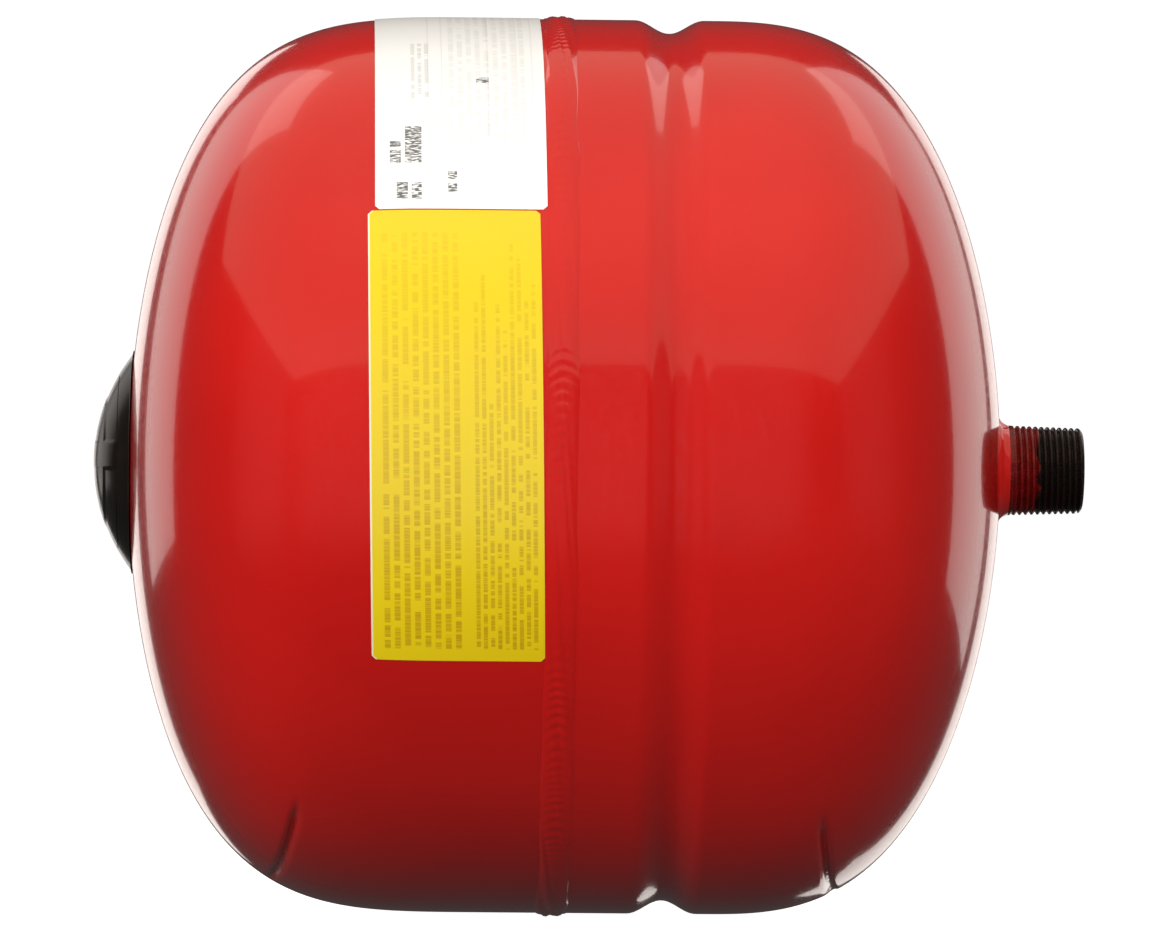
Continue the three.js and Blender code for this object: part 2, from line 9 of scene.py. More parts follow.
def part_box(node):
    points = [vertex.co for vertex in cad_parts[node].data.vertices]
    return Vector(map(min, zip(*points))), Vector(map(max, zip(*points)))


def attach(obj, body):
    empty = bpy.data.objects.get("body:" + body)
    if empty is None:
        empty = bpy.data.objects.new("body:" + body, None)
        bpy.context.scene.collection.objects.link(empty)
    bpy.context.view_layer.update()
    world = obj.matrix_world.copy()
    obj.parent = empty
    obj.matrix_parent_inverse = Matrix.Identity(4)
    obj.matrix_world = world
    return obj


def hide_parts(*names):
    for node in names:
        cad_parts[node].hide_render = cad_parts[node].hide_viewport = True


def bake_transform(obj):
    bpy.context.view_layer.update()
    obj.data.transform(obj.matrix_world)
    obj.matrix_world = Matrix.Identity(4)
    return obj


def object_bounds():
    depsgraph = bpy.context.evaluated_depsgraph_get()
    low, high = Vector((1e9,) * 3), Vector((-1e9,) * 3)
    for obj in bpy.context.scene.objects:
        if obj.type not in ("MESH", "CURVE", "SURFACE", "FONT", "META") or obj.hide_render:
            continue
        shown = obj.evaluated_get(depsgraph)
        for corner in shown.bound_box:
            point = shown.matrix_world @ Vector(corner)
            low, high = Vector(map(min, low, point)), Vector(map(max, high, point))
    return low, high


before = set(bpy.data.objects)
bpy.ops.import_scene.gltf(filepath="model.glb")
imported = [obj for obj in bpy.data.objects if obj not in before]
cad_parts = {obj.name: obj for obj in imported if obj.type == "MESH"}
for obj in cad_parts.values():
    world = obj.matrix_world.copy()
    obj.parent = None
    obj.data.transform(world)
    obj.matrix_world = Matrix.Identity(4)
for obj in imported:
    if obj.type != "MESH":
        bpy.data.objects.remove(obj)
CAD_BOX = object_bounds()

# Looks of a 12 litre heating expansion vessel. Lengths are metres, in the CAD's frame: +X runs along the
# vessel's axis and out of the pipe nipple, +Z is up. Angles around the axis are degrees up from the
# horizontal that faces the camera (-Y): 0 is the side that faces it, 90 the top and -90 the bottom.

MM = 0.001

# ---- Shape, repeated from the CAD or taken from the frame ----

GAS_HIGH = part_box("gas_side_shell")[1]
WATER_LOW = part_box("water_side_shell")[0]
WELD_LOW, WELD_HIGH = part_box("girth_weld")
NIPPLE_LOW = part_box("water_nipple")[0]
COVER_LOW, COVER_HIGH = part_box("protective_cap")

SHELL_RADIUS = GAS_HIGH.z
SHELL_WALL = 1.2 * MM
SEAM_X = (GAS_HIGH.x + WATER_LOW.x) / 2
GAS_DOME = {"apex": -288.5 * MM, "tangent": -181.5 * MM, "axial": 3.76, "radial": 2.0}
WATER_DOME = {"apex": -25.3 * MM, "tangent": -114 * MM, "axial": 2.87, "radial": 1.9}

GROOVE_X = -126.5 * MM
GROOVE_HALF_WIDTH = 10.5 * MM
GROOVE_DEPTH = 4 * MM

POCKET_RADIUS = 28 * MM
POCKET_FLOOR_X = -270.5 * MM
POCKET_LIP = 3 * MM
POCKET_CORNER = 2 * MM
POCKET_FLOOR_RING = 12 * MM         # a row of points halfway across the pocket's flat floor
BOSS_HOLE = 6.3 * MM
NIPPLE_HOLE = 13.7 * MM

THREAD_PITCH = 25.4 / 14 * MM
THREAD_GAUGE_RADIUS = 13.22 * MM
THREAD_GAUGE_LENGTH = 9.5 * MM
THREAD_TAPER = 1 / 32
THREAD_DEPTH = 0.85 * MM
THREAD_START = -22 * MM
THREAD_END = -0.9 * MM
THREAD_FADE_IN = (0.4 * MM, 1.4 * MM)    # the crests rise over this stretch from the pipe's end
THREAD_RUNOUT = 1.5 * MM                 # and sink over this length at the weld
NIPPLE_BORE = 9.5 * MM
NIPPLE_PLAIN = 13.4 * MM
NIPPLE_CHAMFER = 1.15 * MM
BORE_CHAMFER = 0.4 * MM
PAINT_END_X = -14.2 * MM            # the shell's red paint runs out on the thread here

RING_STEPS = 360                    # facets around the shells
DOME_STEPS = 260                    # rows along a dome, close enough to carry the pressed creases
FINE_STEPS = 96                     # facets around the small turned pieces

# ---- Mesh helpers: a profile point is (x, radius) ----


def around(x, radius, degrees):
    """The point at that place on a ring about the axis."""
    angle = np.radians(degrees)
    return np.stack([x, -radius * np.cos(angle), radius * np.sin(angle)], axis=-1)


def grid_object(name, points, close_rows, close_columns):
    """A mesh through a grid of points, rows by columns, with quads between neighbours."""
    rows, columns = points.shape[:2]
    down = np.arange(rows if close_rows else rows - 1)
    along = np.arange(columns if close_columns else columns - 1)
    here, there = np.meshgrid(down, along, indexing="ij")
    below, beside = (here + 1) % rows, (there + 1) % columns
    this_row, next_row = here * columns, below * columns
    corners = [this_row + there, this_row + beside, next_row + beside, next_row + there]
    faces = np.stack([corner.ravel() for corner in corners], axis=-1)
    mesh = bpy.data.meshes.new(name)
    mesh.from_pydata(points.reshape(-1, 3).tolist(), [], faces.tolist())
    piece = bpy.data.objects.new(name, mesh)
    bpy.context.scene.collection.objects.link(piece)
    return piece


def cap_open_ends(piece):
    """Closes the holes at the ends of a strip or a coil."""
    shape = bmesh.new()
    shape.from_mesh(piece.data)
    bmesh.ops.holes_fill(shape, edges=shape.edges, sides=0)
    shape.to_mesh(piece.data)
    shape.free()


def finish_mesh(piece, sharp_degrees=35):
    """Merges points that fall together, turns the faces outwards and shades smooth between sharp edges."""
    shape = bmesh.new()
    shape.from_mesh(piece.data)
    bmesh.ops.remove_doubles(shape, verts=shape.verts, dist=1e-7)
    bmesh.ops.dissolve_degenerate(shape, edges=shape.edges, dist=1e-8)
    bmesh.ops.recalc_face_normals(shape, faces=shape.faces)
    shape.to_mesh(piece.data)
    shape.free()
    for face in piece.data.polygons:
        face.use_smooth = True
    piece.data.set_sharp_from_angle(angle=math.radians(sharp_degrees))
    return piece


def revolve(name, profile, steps, relief=None, sharp_degrees=35):
    """Spins a closed profile about the axis. relief(x, radius, degrees) moves points outwards."""
    profile = np.array(profile, float)
    degrees = np.linspace(0, 360, steps, endpoint=False)
    x, turn = np.meshgrid(profile[:, 0], degrees, indexing="ij")
    radius = np.repeat(profile[:, 1:], steps, axis=1)
    if relief:
        radius = radius + relief(x, radius, turn)
    piece = grid_object(name, around(x, radius, turn), close_rows=True, close_columns=True)
    return finish_mesh(piece, sharp_degrees)


def inset(path, distance):
    """The path moved sideways into the vessel. It runs towards -X or towards the axis."""
    path = np.array(path, float)
    steps = np.diff(path, axis=0)
    steps = steps / np.linalg.norm(steps, axis=1, keepdims=True)
    arriving = np.vstack([steps[:1], steps])
    leaving = np.vstack([steps, steps[-1:]])
    along = arriving + leaving
    along = along / np.linalg.norm(along, axis=1, keepdims=True)
    mitre = distance / np.sum(along * leaving, axis=1)
    return path + np.stack([-along[:, 1], along[:, 0]], axis=-1) * mitre[:, None]


def walled(path, thickness):
    """A closed profile: the path, and the same path set in by the wall's thickness."""
    return np.vstack([path, inset(path, thickness)[::-1]])


def dome_path(dome, from_radius, to_radius, steps):
    """Points (x, radius) on a superellipse dome."""
    ends = [math.asin((radius / SHELL_RADIUS) ** (dome["radial"] / 2)) for radius in (from_radius, to_radius)]
    angle = np.linspace(ends[0], ends[1], steps)
    radius = SHELL_RADIUS * np.sin(angle) ** (2 / dome["radial"])
    fraction = np.clip(np.cos(angle), 0, None) ** (2 / dome["axial"])
    return np.stack([dome["tangent"] + (dome["apex"] - dome["tangent"]) * fraction, radius], axis=-1)


def arc_path(centre, radius, from_degrees, to_degrees, steps):
    """Points (x, radius) on an arc: 0 degrees points away from the axis, and 90 degrees towards +X."""
    angle = np.radians(np.linspace(from_degrees, to_degrees, steps))
    return np.stack([centre[0] + radius * np.sin(angle), centre[1] + radius * np.cos(angle)], axis=-1)


def straight(start, end, steps):
    """Evenly spaced points from start to just before end."""
    return np.linspace(start, end, steps, endpoint=False)


def smooth_step(value, low, high):
    """0 below low, 1 above high and a smooth rise between them."""
    share = np.clip((value - low) / (high - low), 0, 1)
    return share * share * (3 - 2 * share)


def waves(turn, seed, count=9, lowest=3):
    """A gentle irregular wave around the axis, about -1 to 1, that closes on itself."""
    random = np.random.default_rng(seed)
    total = np.zeros_like(turn, dtype=float)
    for order in range(lowest, lowest + count):
        total += random.uniform(-1, 1) * np.sin(np.radians(turn * order) + random.uniform(0, 2 * math.pi))
    return total / math.sqrt(count / 2)


# ---- Material helpers ----


class Surface:
    """A material's node tree, with short calls for the nodes used here."""

    def __init__(self, name, **shader):
        self.material = bpy.data.materials.new(name)
        self.material.use_nodes = True
        self.tree = self.material.node_tree
        self.shader = self.tree.nodes["Principled BSDF"]
        for socket, value in shader.items():
            self.shader.inputs[socket.replace("_", " ").title().replace("Ior", "IOR")].default_value = value
        self.place = self.add("ShaderNodeTexCoord").outputs["Object"]

    def add(self, kind, inputs=None, **settings):
        node = self.tree.nodes.new(kind)
        for key, value in settings.items():
            setattr(node, key, value)
        for socket, value in (inputs or {}).items():
            if isinstance(value, bpy.types.NodeSocket):
                self.tree.links.new(value, node.inputs[socket])
            else:
                node.inputs[socket].default_value = value
        return node

    def noise(self, scale, detail=2.0, roughness=0.5, vector=None):
        inputs = {"Vector": vector or self.place, "Scale": scale, "Detail": detail, "Roughness": roughness}
        return self.add("ShaderNodeTexNoise", inputs).outputs["Fac"]

    def stretched(self, scale):
        """Object coordinates scaled unevenly, for grain that runs one way."""
        return self.add("ShaderNodeMapping", {"Vector": self.place, "Scale": scale}).outputs["Vector"]

    def math(self, operation, first, second=0.0, third=0.0):
        node = self.add("ShaderNodeMath", {0: first, 1: second, 2: third}, operation=operation)
        return node.outputs[0]

    def between(self, value, low, high, to_low=0.0, to_high=1.0):
        inputs = {"Value": value, "From Min": low, "From Max": high, "To Min": to_low, "To Max": to_high}
        return self.add("ShaderNodeMapRange", inputs).outputs["Result"]

    def span(self, value, start, end):
        """1 where the value lies between start and end, and 0 elsewhere."""
        past_start = self.math("GREATER_THAN", value, start)
        before_end = self.math("LESS_THAN", value, end)
        return self.math("MULTIPLY", past_start, before_end)

    def mix(self, share, first, second):
        node = self.add("ShaderNodeMix", data_type="RGBA")
        for socket, value in ((0, share), (6, first), (7, second)):
            if isinstance(value, bpy.types.NodeSocket):
                self.tree.links.new(value, node.inputs[socket])
            else:
                node.inputs[socket].default_value = value
        return node.outputs[2]

    def axes(self):
        parts = self.add("ShaderNodeSeparateXYZ", {"Vector": self.place}).outputs
        return parts["X"], parts["Y"], parts["Z"]

    def bump(self, height, distance, strength=1.0, normal=None):
        inputs = {"Height": height, "Distance": distance, "Strength": strength}
        if normal:
            inputs["Normal"] = normal
        return self.add("ShaderNodeBump", inputs).outputs["Normal"]

    def set(self, **sockets):
        for socket, value in sockets.items():
            self.tree.links.new(value, self.shader.inputs[socket.replace("_", " ").title()])
        return self.material


def rgb(red, green, blue):
    """A colour given as it looks on screen, 0 to 255, turned to the linear values that shaders use."""
    def linear(value):
        share = value / 255
        return share / 12.92 if share <= 0.04045 else ((share + 0.055) / 1.055) ** 2.4
    return (linear(red), linear(green), linear(blue), 1.0)


def dress(piece, material, body, slot, *nodes):
    """Gives a piece its material and body, and hides the CAD nodes that it stands for. The slot argument is
    not used.
    """
    piece.data.materials.clear()
    piece.data.materials.append(material)
    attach(piece, body)
    if nodes:
        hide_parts(*nodes)
    return piece


# ---- Materials ----

PAINT_RED = rgb(211, 27, 21)
PAINT_DEEP = rgb(198, 21, 17)


def red_paint(name="red_enamel", peel=1.0):
    """Glossy baked enamel under a clear coat, with a faint orange peel and a slow drift between two reds."""
    paint = Surface(name, roughness=0.12, coat_weight=0.5, coat_roughness=0.04)
    drift = paint.noise(9, 3)
    colour = paint.mix(paint.between(drift, 0.35, 0.65), PAINT_DEEP, PAINT_RED)
    ripple = paint.bump(paint.noise(260, 2), 0.00002 * peel)
    peel_normal = paint.bump(paint.noise(1400, 1), 0.000004 * peel, normal=ripple)
    rough = paint.between(paint.noise(600, 3), 0.3, 0.7, 0.09, 0.18)
    return paint.set(base_color=colour, roughness=rough, normal=peel_normal)


def thread_finish():
    """Oiled black steel at the pipe's end, red enamel towards the shell, with a ragged edge between."""
    surface = Surface("painted_thread", roughness=0.35, metallic=0.0)
    along = surface.axes()[0]
    ragged = surface.math("MULTIPLY_ADD", surface.noise(260, 3), 0.0042, -0.0021)
    edge = surface.math("ADD", along, ragged)
    bare = surface.between(edge, PAINT_END_X - 0.0004, PAINT_END_X + 0.0004)
    black = surface.mix(surface.noise(1500, 3), rgb(16, 13, 11), rgb(52, 47, 43))
    red = surface.mix(surface.noise(300, 3), rgb(62, 8, 7), rgb(140, 18, 14))
    rough = surface.between(surface.noise(900, 3), 0.3, 0.7, 0.16, 0.34)
    normal = surface.bump(surface.noise(900, 4), 0.000012)
    return surface.set(base_color=surface.mix(bare, red, black), metallic=surface.math("MULTIPLY", bare, 0.6),
                       roughness=rough, normal=normal)


def black_plastic():
    """Moulded plastic with a satin gloss and light scuffs."""
    plastic = Surface("moulded_black", roughness=0.25, specular_ior_level=0.2)
    colour = plastic.mix(plastic.noise(120, 4), rgb(12, 9, 8), rgb(32, 26, 23))
    rough = plastic.between(plastic.noise(90, 5), 0.3, 0.7, 0.12, 0.26)
    normal = plastic.bump(plastic.noise(1800, 2), 0.00001)
    return plastic.set(base_color=colour, roughness=rough, normal=normal)


def rubber():
    """Dull moulded rubber."""
    surface = Surface("black_rubber", roughness=0.75)
    colour = surface.mix(surface.noise(60, 4), rgb(22, 22, 23), rgb(44, 43, 42))
    rough = surface.between(surface.noise(240, 3), 0.3, 0.7, 0.6, 0.85)
    normal = surface.bump(surface.noise(1200, 3), 0.00003)
    return surface.set(base_color=colour, roughness=rough, normal=normal)


def bare_steel():
    """Uncoated steel, with grain that runs around the part."""
    surface = Surface("bare_steel", roughness=0.4, metallic=1.0)
    drawn = surface.stretched((1400, 40, 40))
    colour = surface.mix(surface.noise(90, 4), rgb(112, 112, 112), rgb(168, 168, 170))
    rough = surface.between(surface.noise(1, 3, vector=drawn), 0.3, 0.7, 0.28, 0.5)
    normal = surface.bump(surface.noise(1, 3, vector=drawn), 0.00001)
    return surface.set(base_color=colour, roughness=rough, normal=normal)


def turned_brass():
    """Brass with fine turning marks."""
    surface = Surface("turned_brass", roughness=0.3, metallic=1.0)
    drawn = surface.stretched((5200, 60, 60))
    colour = surface.mix(surface.noise(140, 4), rgb(166, 130, 62), rgb(214, 180, 106))
    rough = surface.between(surface.noise(160, 4), 0.3, 0.7, 0.2, 0.42)
    normal = surface.bump(surface.noise(1, 2, vector=drawn), 0.00001)
    return surface.set(base_color=colour, roughness=rough, normal=normal)


# ---- Shells ----

# Two short pressed creases low on the shoulders: (x, degrees) where each starts and ends.
CREASES = [
    ((-234.8 * MM, -49), (-243.8 * MM, -79)),
    ((-82.4 * MM, -50), (-74.8 * MM, -86)),
]
CREASE_DEPTH = 1.9 * MM
CREASE_WIDTH = 1.1 * MM
CREASE_FADE_IN = (-0.05, 0.2)       # shares of a crease's length over which it deepens and runs out
CREASE_FADE_OUT = (0.85, 1.15)


def crease_relief(x, radius, turn):
    """Sinks the shell along the creases, on its outside and inside alike."""
    sunk = np.zeros_like(x)
    degrees = (turn + 180) % 360 - 180
    for (start_x, start_turn), (end_x, end_turn) in CREASES:
        share = (degrees - start_turn) / (end_turn - start_turn)
        line = start_x + (end_x - start_x) * share
        window = smooth_step(share, *CREASE_FADE_IN) * (1 - smooth_step(share, *CREASE_FADE_OUT))
        sunk -= CREASE_DEPTH * window * np.exp(-(((x - line) / CREASE_WIDTH) ** 2))
    return sunk


def gas_shell(paint):
    """The gas-side half: a straight skirt, the dome, and the pocket pressed in around the valve."""
    lip_radius = POCKET_RADIUS + POCKET_LIP
    dome = dome_path(GAS_DOME, SHELL_RADIUS, lip_radius, DOME_STEPS)
    lip = arc_path((dome[-1, 0] + POCKET_LIP, lip_radius), POCKET_LIP, 270, 180, 10)
    corner_centre = (POCKET_FLOOR_X - POCKET_CORNER, POCKET_RADIUS - POCKET_CORNER)
    corner = arc_path(corner_centre, POCKET_CORNER, 0, 90, 8)
    path = np.vstack([
        straight((GAS_HIGH.x, SHELL_RADIUS), dome[0], 6),
        dome,
        lip[1:],
        corner,
        [(POCKET_FLOOR_X, POCKET_FLOOR_RING), (POCKET_FLOOR_X, BOSS_HOLE)],
    ])
    shell = revolve("gas_shell_skin", walled(path, SHELL_WALL), RING_STEPS, crease_relief)
    return dress(shell, paint, "vessel", "red_paint", "gas_side_shell")


def groove_path():
    """The rolled groove, from its nipple end to its weld end."""
    along = np.linspace(1, -1, 34)
    depth = GROOVE_DEPTH * (1 + np.cos(math.pi * along)) / 2
    return np.stack([GROOVE_X + GROOVE_HALF_WIDTH * along, SHELL_RADIUS - depth], axis=-1)


def water_shell(paint):
    """The water-side half: the dome, the rolled groove and a straight skirt up to the seam."""
    path = np.vstack([
        dome_path(WATER_DOME, NIPPLE_HOLE, SHELL_RADIUS, DOME_STEPS),
        groove_path(),
        straight((GROOVE_X - GROOVE_HALF_WIDTH * 1.02, SHELL_RADIUS), (WATER_LOW.x, SHELL_RADIUS), 6),
        [(WATER_LOW.x, SHELL_RADIUS)],
    ])
    shell = revolve("water_shell_skin", walled(path, SHELL_WALL), RING_STEPS, crease_relief)
    return dress(shell, paint, "vessel", "red_paint", "water_side_shell")


# ---- Weld bead ----

WELD_STEPS = 1440
WELD_FOOT_DROP = 0.25 * MM
WELD_RIPPLES = 250
WELD_ROWS = 15
WELD_EDGE_WANDER = 0.07             # how unevenly each edge runs, as a share of the bead's half width
WELD_DRIFT = 0.06                   # how far the crown wanders sideways, as the same share
WELD_RIPPLE_LAG = 3.5               # how far the ripples trail at the edges, which makes them crescents
WELD_RIPPLE_WANDER = 2.2
WELD_CROWN_POWER = 0.7
WELD_LUMP_MEAN = 0.7                # the bead's height as a share of its highest, and how that varies
WELD_LUMP_SWING = 0.15
WELD_RIPPLE_SWING = 0.07
WELD_LOWEST_LUMP = 0.3


def weld_bead(paint):
    """A bead over the seam, with crescent ripples, uneven edges and a wandering crown."""
    half = (WELD_HIGH.x - WELD_LOW.x) / 2
    height = WELD_HIGH.z - SHELL_RADIUS
    across = np.linspace(-1, 1, WELD_ROWS)
    degrees = np.linspace(0, 360, WELD_STEPS, endpoint=False)
    share, turn = np.meshgrid(across, degrees, indexing="ij")
    left_edge = 1 + WELD_EDGE_WANDER * waves(turn, 11, 24, 8)
    right_edge = 1 + WELD_EDGE_WANDER * waves(turn, 12, 24, 8)
    edge = np.where(share < 0, left_edge, right_edge)
    drift = WELD_DRIFT * waves(turn, 13, 10, 2)
    x = SEAM_X + half * (share * edge + drift * (1 - share * share))
    lag = WELD_RIPPLE_LAG * share * share
    wander = WELD_RIPPLE_WANDER * waves(turn, 15, 24, 5)
    patches = 0.5 + 0.5 * waves(turn, 16, 12, 4)
    ripple = np.sin(np.radians(turn * WELD_RIPPLES) + lag * 2 + wander)
    crown = (1 - share ** 2) ** WELD_CROWN_POWER
    swing = WELD_LUMP_SWING * waves(turn + 25 * share, 14, 36, 6)
    lumps = np.clip(WELD_LUMP_MEAN + swing + WELD_RIPPLE_SWING * ripple * patches, WELD_LOWEST_LUMP, 1.0)
    top = SHELL_RADIUS - WELD_FOOT_DROP + (height + WELD_FOOT_DROP) * crown * lumps
    outer = around(x, top, turn)
    under = around(x[::-1], np.full_like(x, SHELL_RADIUS - SHELL_WALL / 2), turn)
    bead = grid_object("weld_bead", np.vstack([outer, under]), close_rows=True, close_columns=True)
    return dress(finish_mesh(bead, 60), paint, "vessel", "red_paint", "girth_weld")


# ---- Pipe nipple ----

THREAD_ROWS = 12                    # rows of points in one turn of thread
THREAD_STEPS = 192


def thread_radius(x, turn):
    """The helical thread's radius, with rounded crests that fade in at the chamfer and out at the weld."""
    crest = THREAD_GAUGE_RADIUS + (-x - THREAD_GAUGE_LENGTH) * THREAD_TAPER
    phase = x / THREAD_PITCH + turn / 360
    valley = np.abs(2 * (phase - np.floor(phase)) - 1)
    rounded = smooth_step(valley, 0.2, 1.0)
    rise = smooth_step(-x, *THREAD_FADE_IN)
    sink = 1 - smooth_step(-x, -THREAD_START - THREAD_RUNOUT, -THREAD_START)
    return crest - THREAD_DEPTH * rounded * (rise * sink)


def nipple():
    """The threaded pipe: a bored tube with a helical thread and a chamfered end."""
    turns = -THREAD_START / THREAD_PITCH
    thread_x = np.linspace(THREAD_START, THREAD_END, int(turns * THREAD_ROWS))
    end_radius = THREAD_GAUGE_RADIUS - THREAD_GAUGE_LENGTH * THREAD_TAPER - NIPPLE_CHAMFER
    chamfer = [(-0.55 * MM, end_radius + 0.75 * MM), (-0.2 * MM, end_radius + 0.35 * MM), (0, end_radius)]
    bore = [(0, NIPPLE_BORE + BORE_CHAMFER), (-BORE_CHAMFER, NIPPLE_BORE), (NIPPLE_LOW.x / 2, NIPPLE_BORE)]
    inner = [(NIPPLE_LOW.x, NIPPLE_BORE), (NIPPLE_LOW.x, NIPPLE_PLAIN)]
    plain = np.vstack([chamfer, bore, inner])
    degrees = np.linspace(0, 360, THREAD_STEPS, endpoint=False)
    x, turn = np.meshgrid(thread_x, degrees, indexing="ij")
    threaded = around(x, thread_radius(x, turn), turn)
    plain_x, plain_turn = np.meshgrid(plain[:, 0], degrees, indexing="ij")
    rest = around(plain_x, np.repeat(plain[:, 1:], THREAD_STEPS, axis=1), plain_turn)
    pipe = grid_object("threaded_nipple", np.vstack([threaded, rest]), close_rows=True, close_columns=True)
    return dress(finish_mesh(pipe, 50), thread_finish(), "vessel", "black_thread", "water_nipple")


# The weld's section in millimetres: along the axis from the dome's foot, and out from the shell's hole.
FILLET_SECTION = [
    (-0.6, -0.5),
    (-0.6, 2.4),
    (-0.1, 2.1),
    (0.5, 1.2),
    (1.3, 0.5),
    (2.4, 0.1),
    (3.1, -0.25),
    (3.2, -0.5),
]
FILLET_UNEVEN = 0.28 * MM


def nipple_fillet(paint):
    """The weld around the nipple's foot: a concave ring with an uneven edge."""
    foot = WATER_DOME["apex"]
    profile = [(foot + along * MM, NIPPLE_HOLE + out * MM) for along, out in FILLET_SECTION]

    def uneven(x, radius, turn):
        outside = smooth_step(radius, NIPPLE_HOLE - 0.2 * MM, NIPPLE_HOLE + 1.0 * MM)
        return FILLET_UNEVEN * outside * waves(turn, 21, 16, 3)

    ring = revolve("nipple_fillet", profile, 240, uneven, 60)
    return dress(ring, paint, "vessel", "red_paint", "nipple_weld")


# ---- Cover ----

COVER_RADIUS = COVER_HIGH.z
COVER_RIM_X = -287 * MM
COVER_WALL = 1.8 * MM
COVER_SEAT = 30.3 * MM
COVER_CROWN = 19.5 * MM             # the raised middle of the cover
COVER_CROWN_STEP = 0.3 * MM
COVER_BAR_HALF = 4.0 * MM           # the grip bar across the middle
COVER_BAR_UP = 2.3 * MM
COVER_BAR_LENGTH = 27 * MM
COVER_BAR_HEIGHT = 0.4 * MM
LEG_OUTER = 27.3 * MM
LEG_INNER = 25.1 * MM
LEG_HALF_SPAN = 27                  # degrees
LEG_COUNT = 4
LEG_ROOT = 7.8 * MM                 # from the cover's outside to where a leg starts


def cover_shell():
    """The low black dome, with a raised middle and a grip bar across it."""
    sagitta = COVER_RIM_X - COVER_LOW.x
    sphere = (COVER_RADIUS ** 2 + sagitta ** 2) / (2 * sagitta)
    centre = (COVER_LOW.x + sphere, 0)
    span = math.degrees(math.asin(COVER_RADIUS / sphere))
    seat_span = math.degrees(math.asin(COVER_SEAT / (sphere - COVER_WALL)))
    outside = arc_path(centre, sphere - COVER_BAR_HEIGHT, 270, 270 + span * 0.985, 60)
    inside = arc_path(centre, sphere - COVER_WALL - 0.6 * MM, 270 + seat_span, 270, 16)
    rim = [(COVER_RIM_X - 0.15 * MM, COVER_RADIUS), (COVER_RIM_X, COVER_RADIUS - 0.3 * MM)]
    profile = np.vstack([outside, rim, inside])
    degrees = np.linspace(0, 360, 256, endpoint=False)
    x, turn = np.meshgrid(profile[:, 0], degrees, indexing="ij")
    radius = np.repeat(profile[:, 1:], len(degrees), axis=1)
    points = around(x, radius, turn)
    across, up = points[..., 1], points[..., 2]
    raised = 1 - smooth_step(radius, COVER_CROWN - 0.5 * MM, COVER_CROWN + 0.5 * MM)
    bar = 1 - smooth_step(np.abs(up - COVER_BAR_UP), COVER_BAR_HALF - 0.4 * MM, COVER_BAR_HALF + 0.4 * MM)
    bar = bar * (1 - smooth_step(np.abs(across), COVER_BAR_LENGTH - MM, COVER_BAR_LENGTH + MM))
    relief = np.maximum(raised * COVER_CROWN_STEP, bar * COVER_BAR_HEIGHT)
    relief[len(outside):] = 0
    points[..., 0] -= relief
    return finish_mesh(grid_object("valve_cover", points, close_rows=True, close_columns=True), 50)


def cover_leg(index):
    """One of the curved legs that grip the pocket, with a low bead near its tip."""
    root, tip = COVER_LOW.x + LEG_ROOT, COVER_HIGH.x
    profile = np.array([
        (root, LEG_INNER),
        (tip, LEG_INNER),
        (tip, LEG_OUTER - 0.6 * MM),
        (tip - 2 * MM, LEG_OUTER + 0.3 * MM),
        (tip - 4 * MM, LEG_OUTER),
        (root, LEG_OUTER),
    ])
    middle = (index + 0.5) * 360 / LEG_COUNT
    degrees = np.linspace(middle - LEG_HALF_SPAN, middle + LEG_HALF_SPAN, 20)
    x, turn = np.meshgrid(profile[:, 0], degrees, indexing="ij")
    radius = np.repeat(profile[:, 1:], len(degrees), axis=1)
    leg = grid_object(f"cover_leg_{index + 1}", around(x, radius, turn), close_rows=True, close_columns=False)
    cap_open_ends(leg)
    return finish_mesh(leg)


def cover():
    """The protective cover with its legs. It pulls off the gas end."""
    plastic = black_plastic()
    dress(cover_shell(), plastic, "cover", "black_plastic", "protective_cap")
    for index in range(LEG_COUNT):
        dress(cover_leg(index), plastic, "cover", "black_plastic")


# ---- Filling valve ----

BOSS_BORE = 4.4 * MM
BOSS_WELD_UNEVEN = 0.12 * MM
STEM_RADIUS = 3.85 * MM
STEM_PITCH = 0.79375 * MM           # 32 threads to the inch
STEM_THREAD_DEPTH = 0.35 * MM
STEM_BORE = 2.6 * MM
STEM_NECK_BORE = 2.0 * MM
STEM_STEP_X = -280 * MM             # where the bore narrows
STEM_FOOT_RADIUS = 4.1 * MM
STEM_FOOT_START = 4.5 * MM          # from the hexagon's outer face to the plain foot
HEXAGON_OUTER_X = -278.1 * MM
HEXAGON_INNER_X = -274.1 * MM
HEXAGON_HALF_FLATS = 5.5 * MM
HEXAGON_CORNER = 6.6 * MM
HEXAGON_FACE = 5.6 * MM             # radius of the round face inside the chamfer
HEXAGON_CHAMFER = 0.5 * MM
HEXAGON_BORE = 3.0 * MM
SPRING_COIL = 1.1 * MM
SPRING_WIRE = 0.15 * MM
SPRING_TURNS = 3
SPRING_STEPS = 32                   # sections of wire in one turn
DUST_CAP_BORE = 4.15 * MM
DUST_CAP_TOP = 1.1 * MM             # thickness of its closed end
FLUTE_DEPTH = 0.35 * MM
FLUTES = 24


def ring_profile(node, bore, edge=0.2 * MM):
    """A bored cylinder with softened edges, as long and wide as a CAD node."""
    low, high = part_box(node)
    return [
        (low.x, bore + edge),
        (low.x, high.z - edge),
        (low.x + edge, high.z),
        (high.x - edge, high.z),
        (high.x, high.z - edge),
        (high.x, bore + edge),
        (high.x - edge, bore),
        (low.x + edge, bore),
    ]


